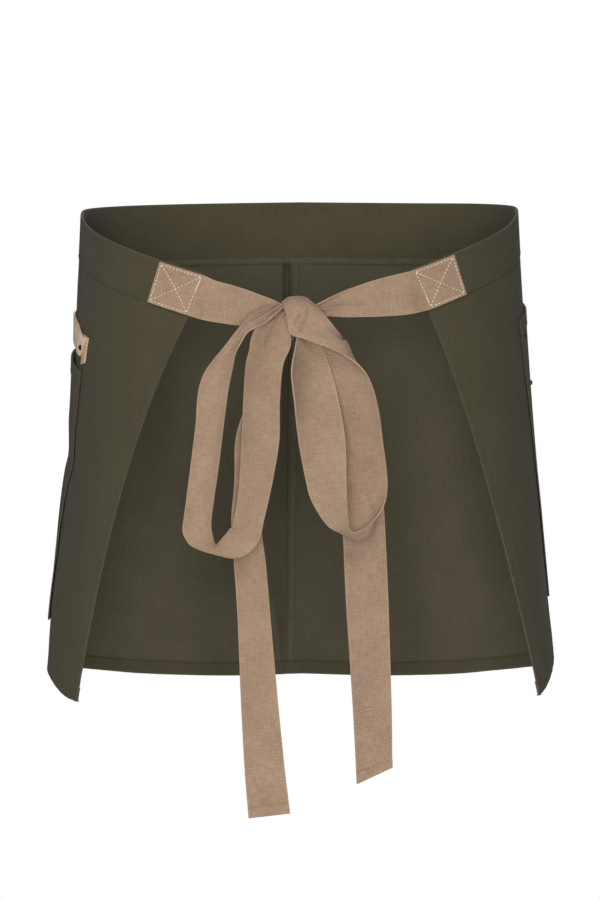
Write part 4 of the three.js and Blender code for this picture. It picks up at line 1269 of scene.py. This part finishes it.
band = make_band()
panels = {name: make_panel(name) for name in SIDES}
allowance = make_centre_seam()
pockets = {name: make_pocket(name) for name in POCKETS}
make_leather_loop()
make_leather_end()
for rivet_name in RIVETS:
    make_rivet(rivet_name)
make_knot()
for tape_name in TAPES:
    make_tape(tape_name, TAPE_END_HEM if tape_name.startswith("tie_tail") else 0)
sew_canvas()
sew_overlock()
sew_tape()

# Studio

CAMERA_PLACE = (-0.000835, -4.184, 0.1674)
CAMERA_TILT = 5
CAMERA_LENS = 201.2
AIM = Vector((0, 0, -0.2))
# Soft boxes: place, size, power
SOFT_BOXES = {
    "front": ((0.0, -4.8, 0.1), 1.8, 142),
    "upper_left": ((-1.4, -3.5, 2.75), 1.5, 42),
    "upper_right": ((1.4, -3.5, 2.75), 1.5, 24),
    "left": ((-3.6, -3.2, 0.05), 1.5, 13),
    "top": ((0.0, -1.2, 4.4), 1.5, 5),
    "back": ((0.4, 3.6, 1.6), 2.6, 90),
}
ROOM_LIGHT = 0.05
FLOOR_DEPTH, FLOOR_RADIUS = -1.05, 2.0


def make_camera():
    camera = bpy.data.objects.new("camera", bpy.data.cameras.new("camera"))
    camera.location = CAMERA_PLACE
    camera.rotation_euler = (math.radians(90 - CAMERA_TILT), 0, 0)
    camera.data.lens = CAMERA_LENS
    camera.data.clip_end = 50
    bpy.context.scene.collection.objects.link(camera)
    bpy.context.scene.camera = camera


def make_lights():
    for name, (place, size, power) in SOFT_BOXES.items():
        light = bpy.data.lights.new(name, "AREA")
        light.shape = "SQUARE"
        light.size = size
        light.energy = power
        lamp = bpy.data.objects.new(name, light)
        lamp.location = place
        lamp.rotation_euler = (AIM - Vector(place)).to_track_quat("-Z", "Y").to_euler()
        bpy.context.scene.collection.objects.link(lamp)


def make_room():
    """A white room that the camera sees in full and that lights the apron only a little."""
    world = bpy.data.worlds.new("studio")
    bpy.context.scene.world = world
    world.use_nodes = True
    tree = world.node_tree
    tree.nodes.clear()
    seen = node(tree, "LightPath").outputs["Is Camera Ray"]
    strength = node(tree, "MapRange", {"Value": seen, "To Min": ROOM_LIGHT, "To Max": 1.0})
    room = node(tree, "Background", {"Color": (1, 1, 1, 1), "Strength": strength})
    node(tree, "OutputWorld", {"Surface": room})
    bpy.context.scene.view_settings.view_transform = "Standard"


def make_floor():
    bm = bmesh.new()
    bmesh.ops.create_circle(bm, cap_ends=True, segments=64, radius=FLOOR_RADIUS)
    bmesh.ops.translate(bm, verts=bm.verts, vec=(0, 0, FLOOR_DEPTH))
    mesh = take_mesh(bm, "floor")
    floor = bpy.data.objects.new("floor", mesh)
    bpy.context.scene.collection.objects.link(floor)
    material, tree, shader = new_material("pale_floor")
    feed(tree, shader, {"Base Color": linear("f2f1ee"), "Roughness": 0.8})
    mesh.materials.append(material)


make_camera()
make_lights()
make_room()
make_floor()
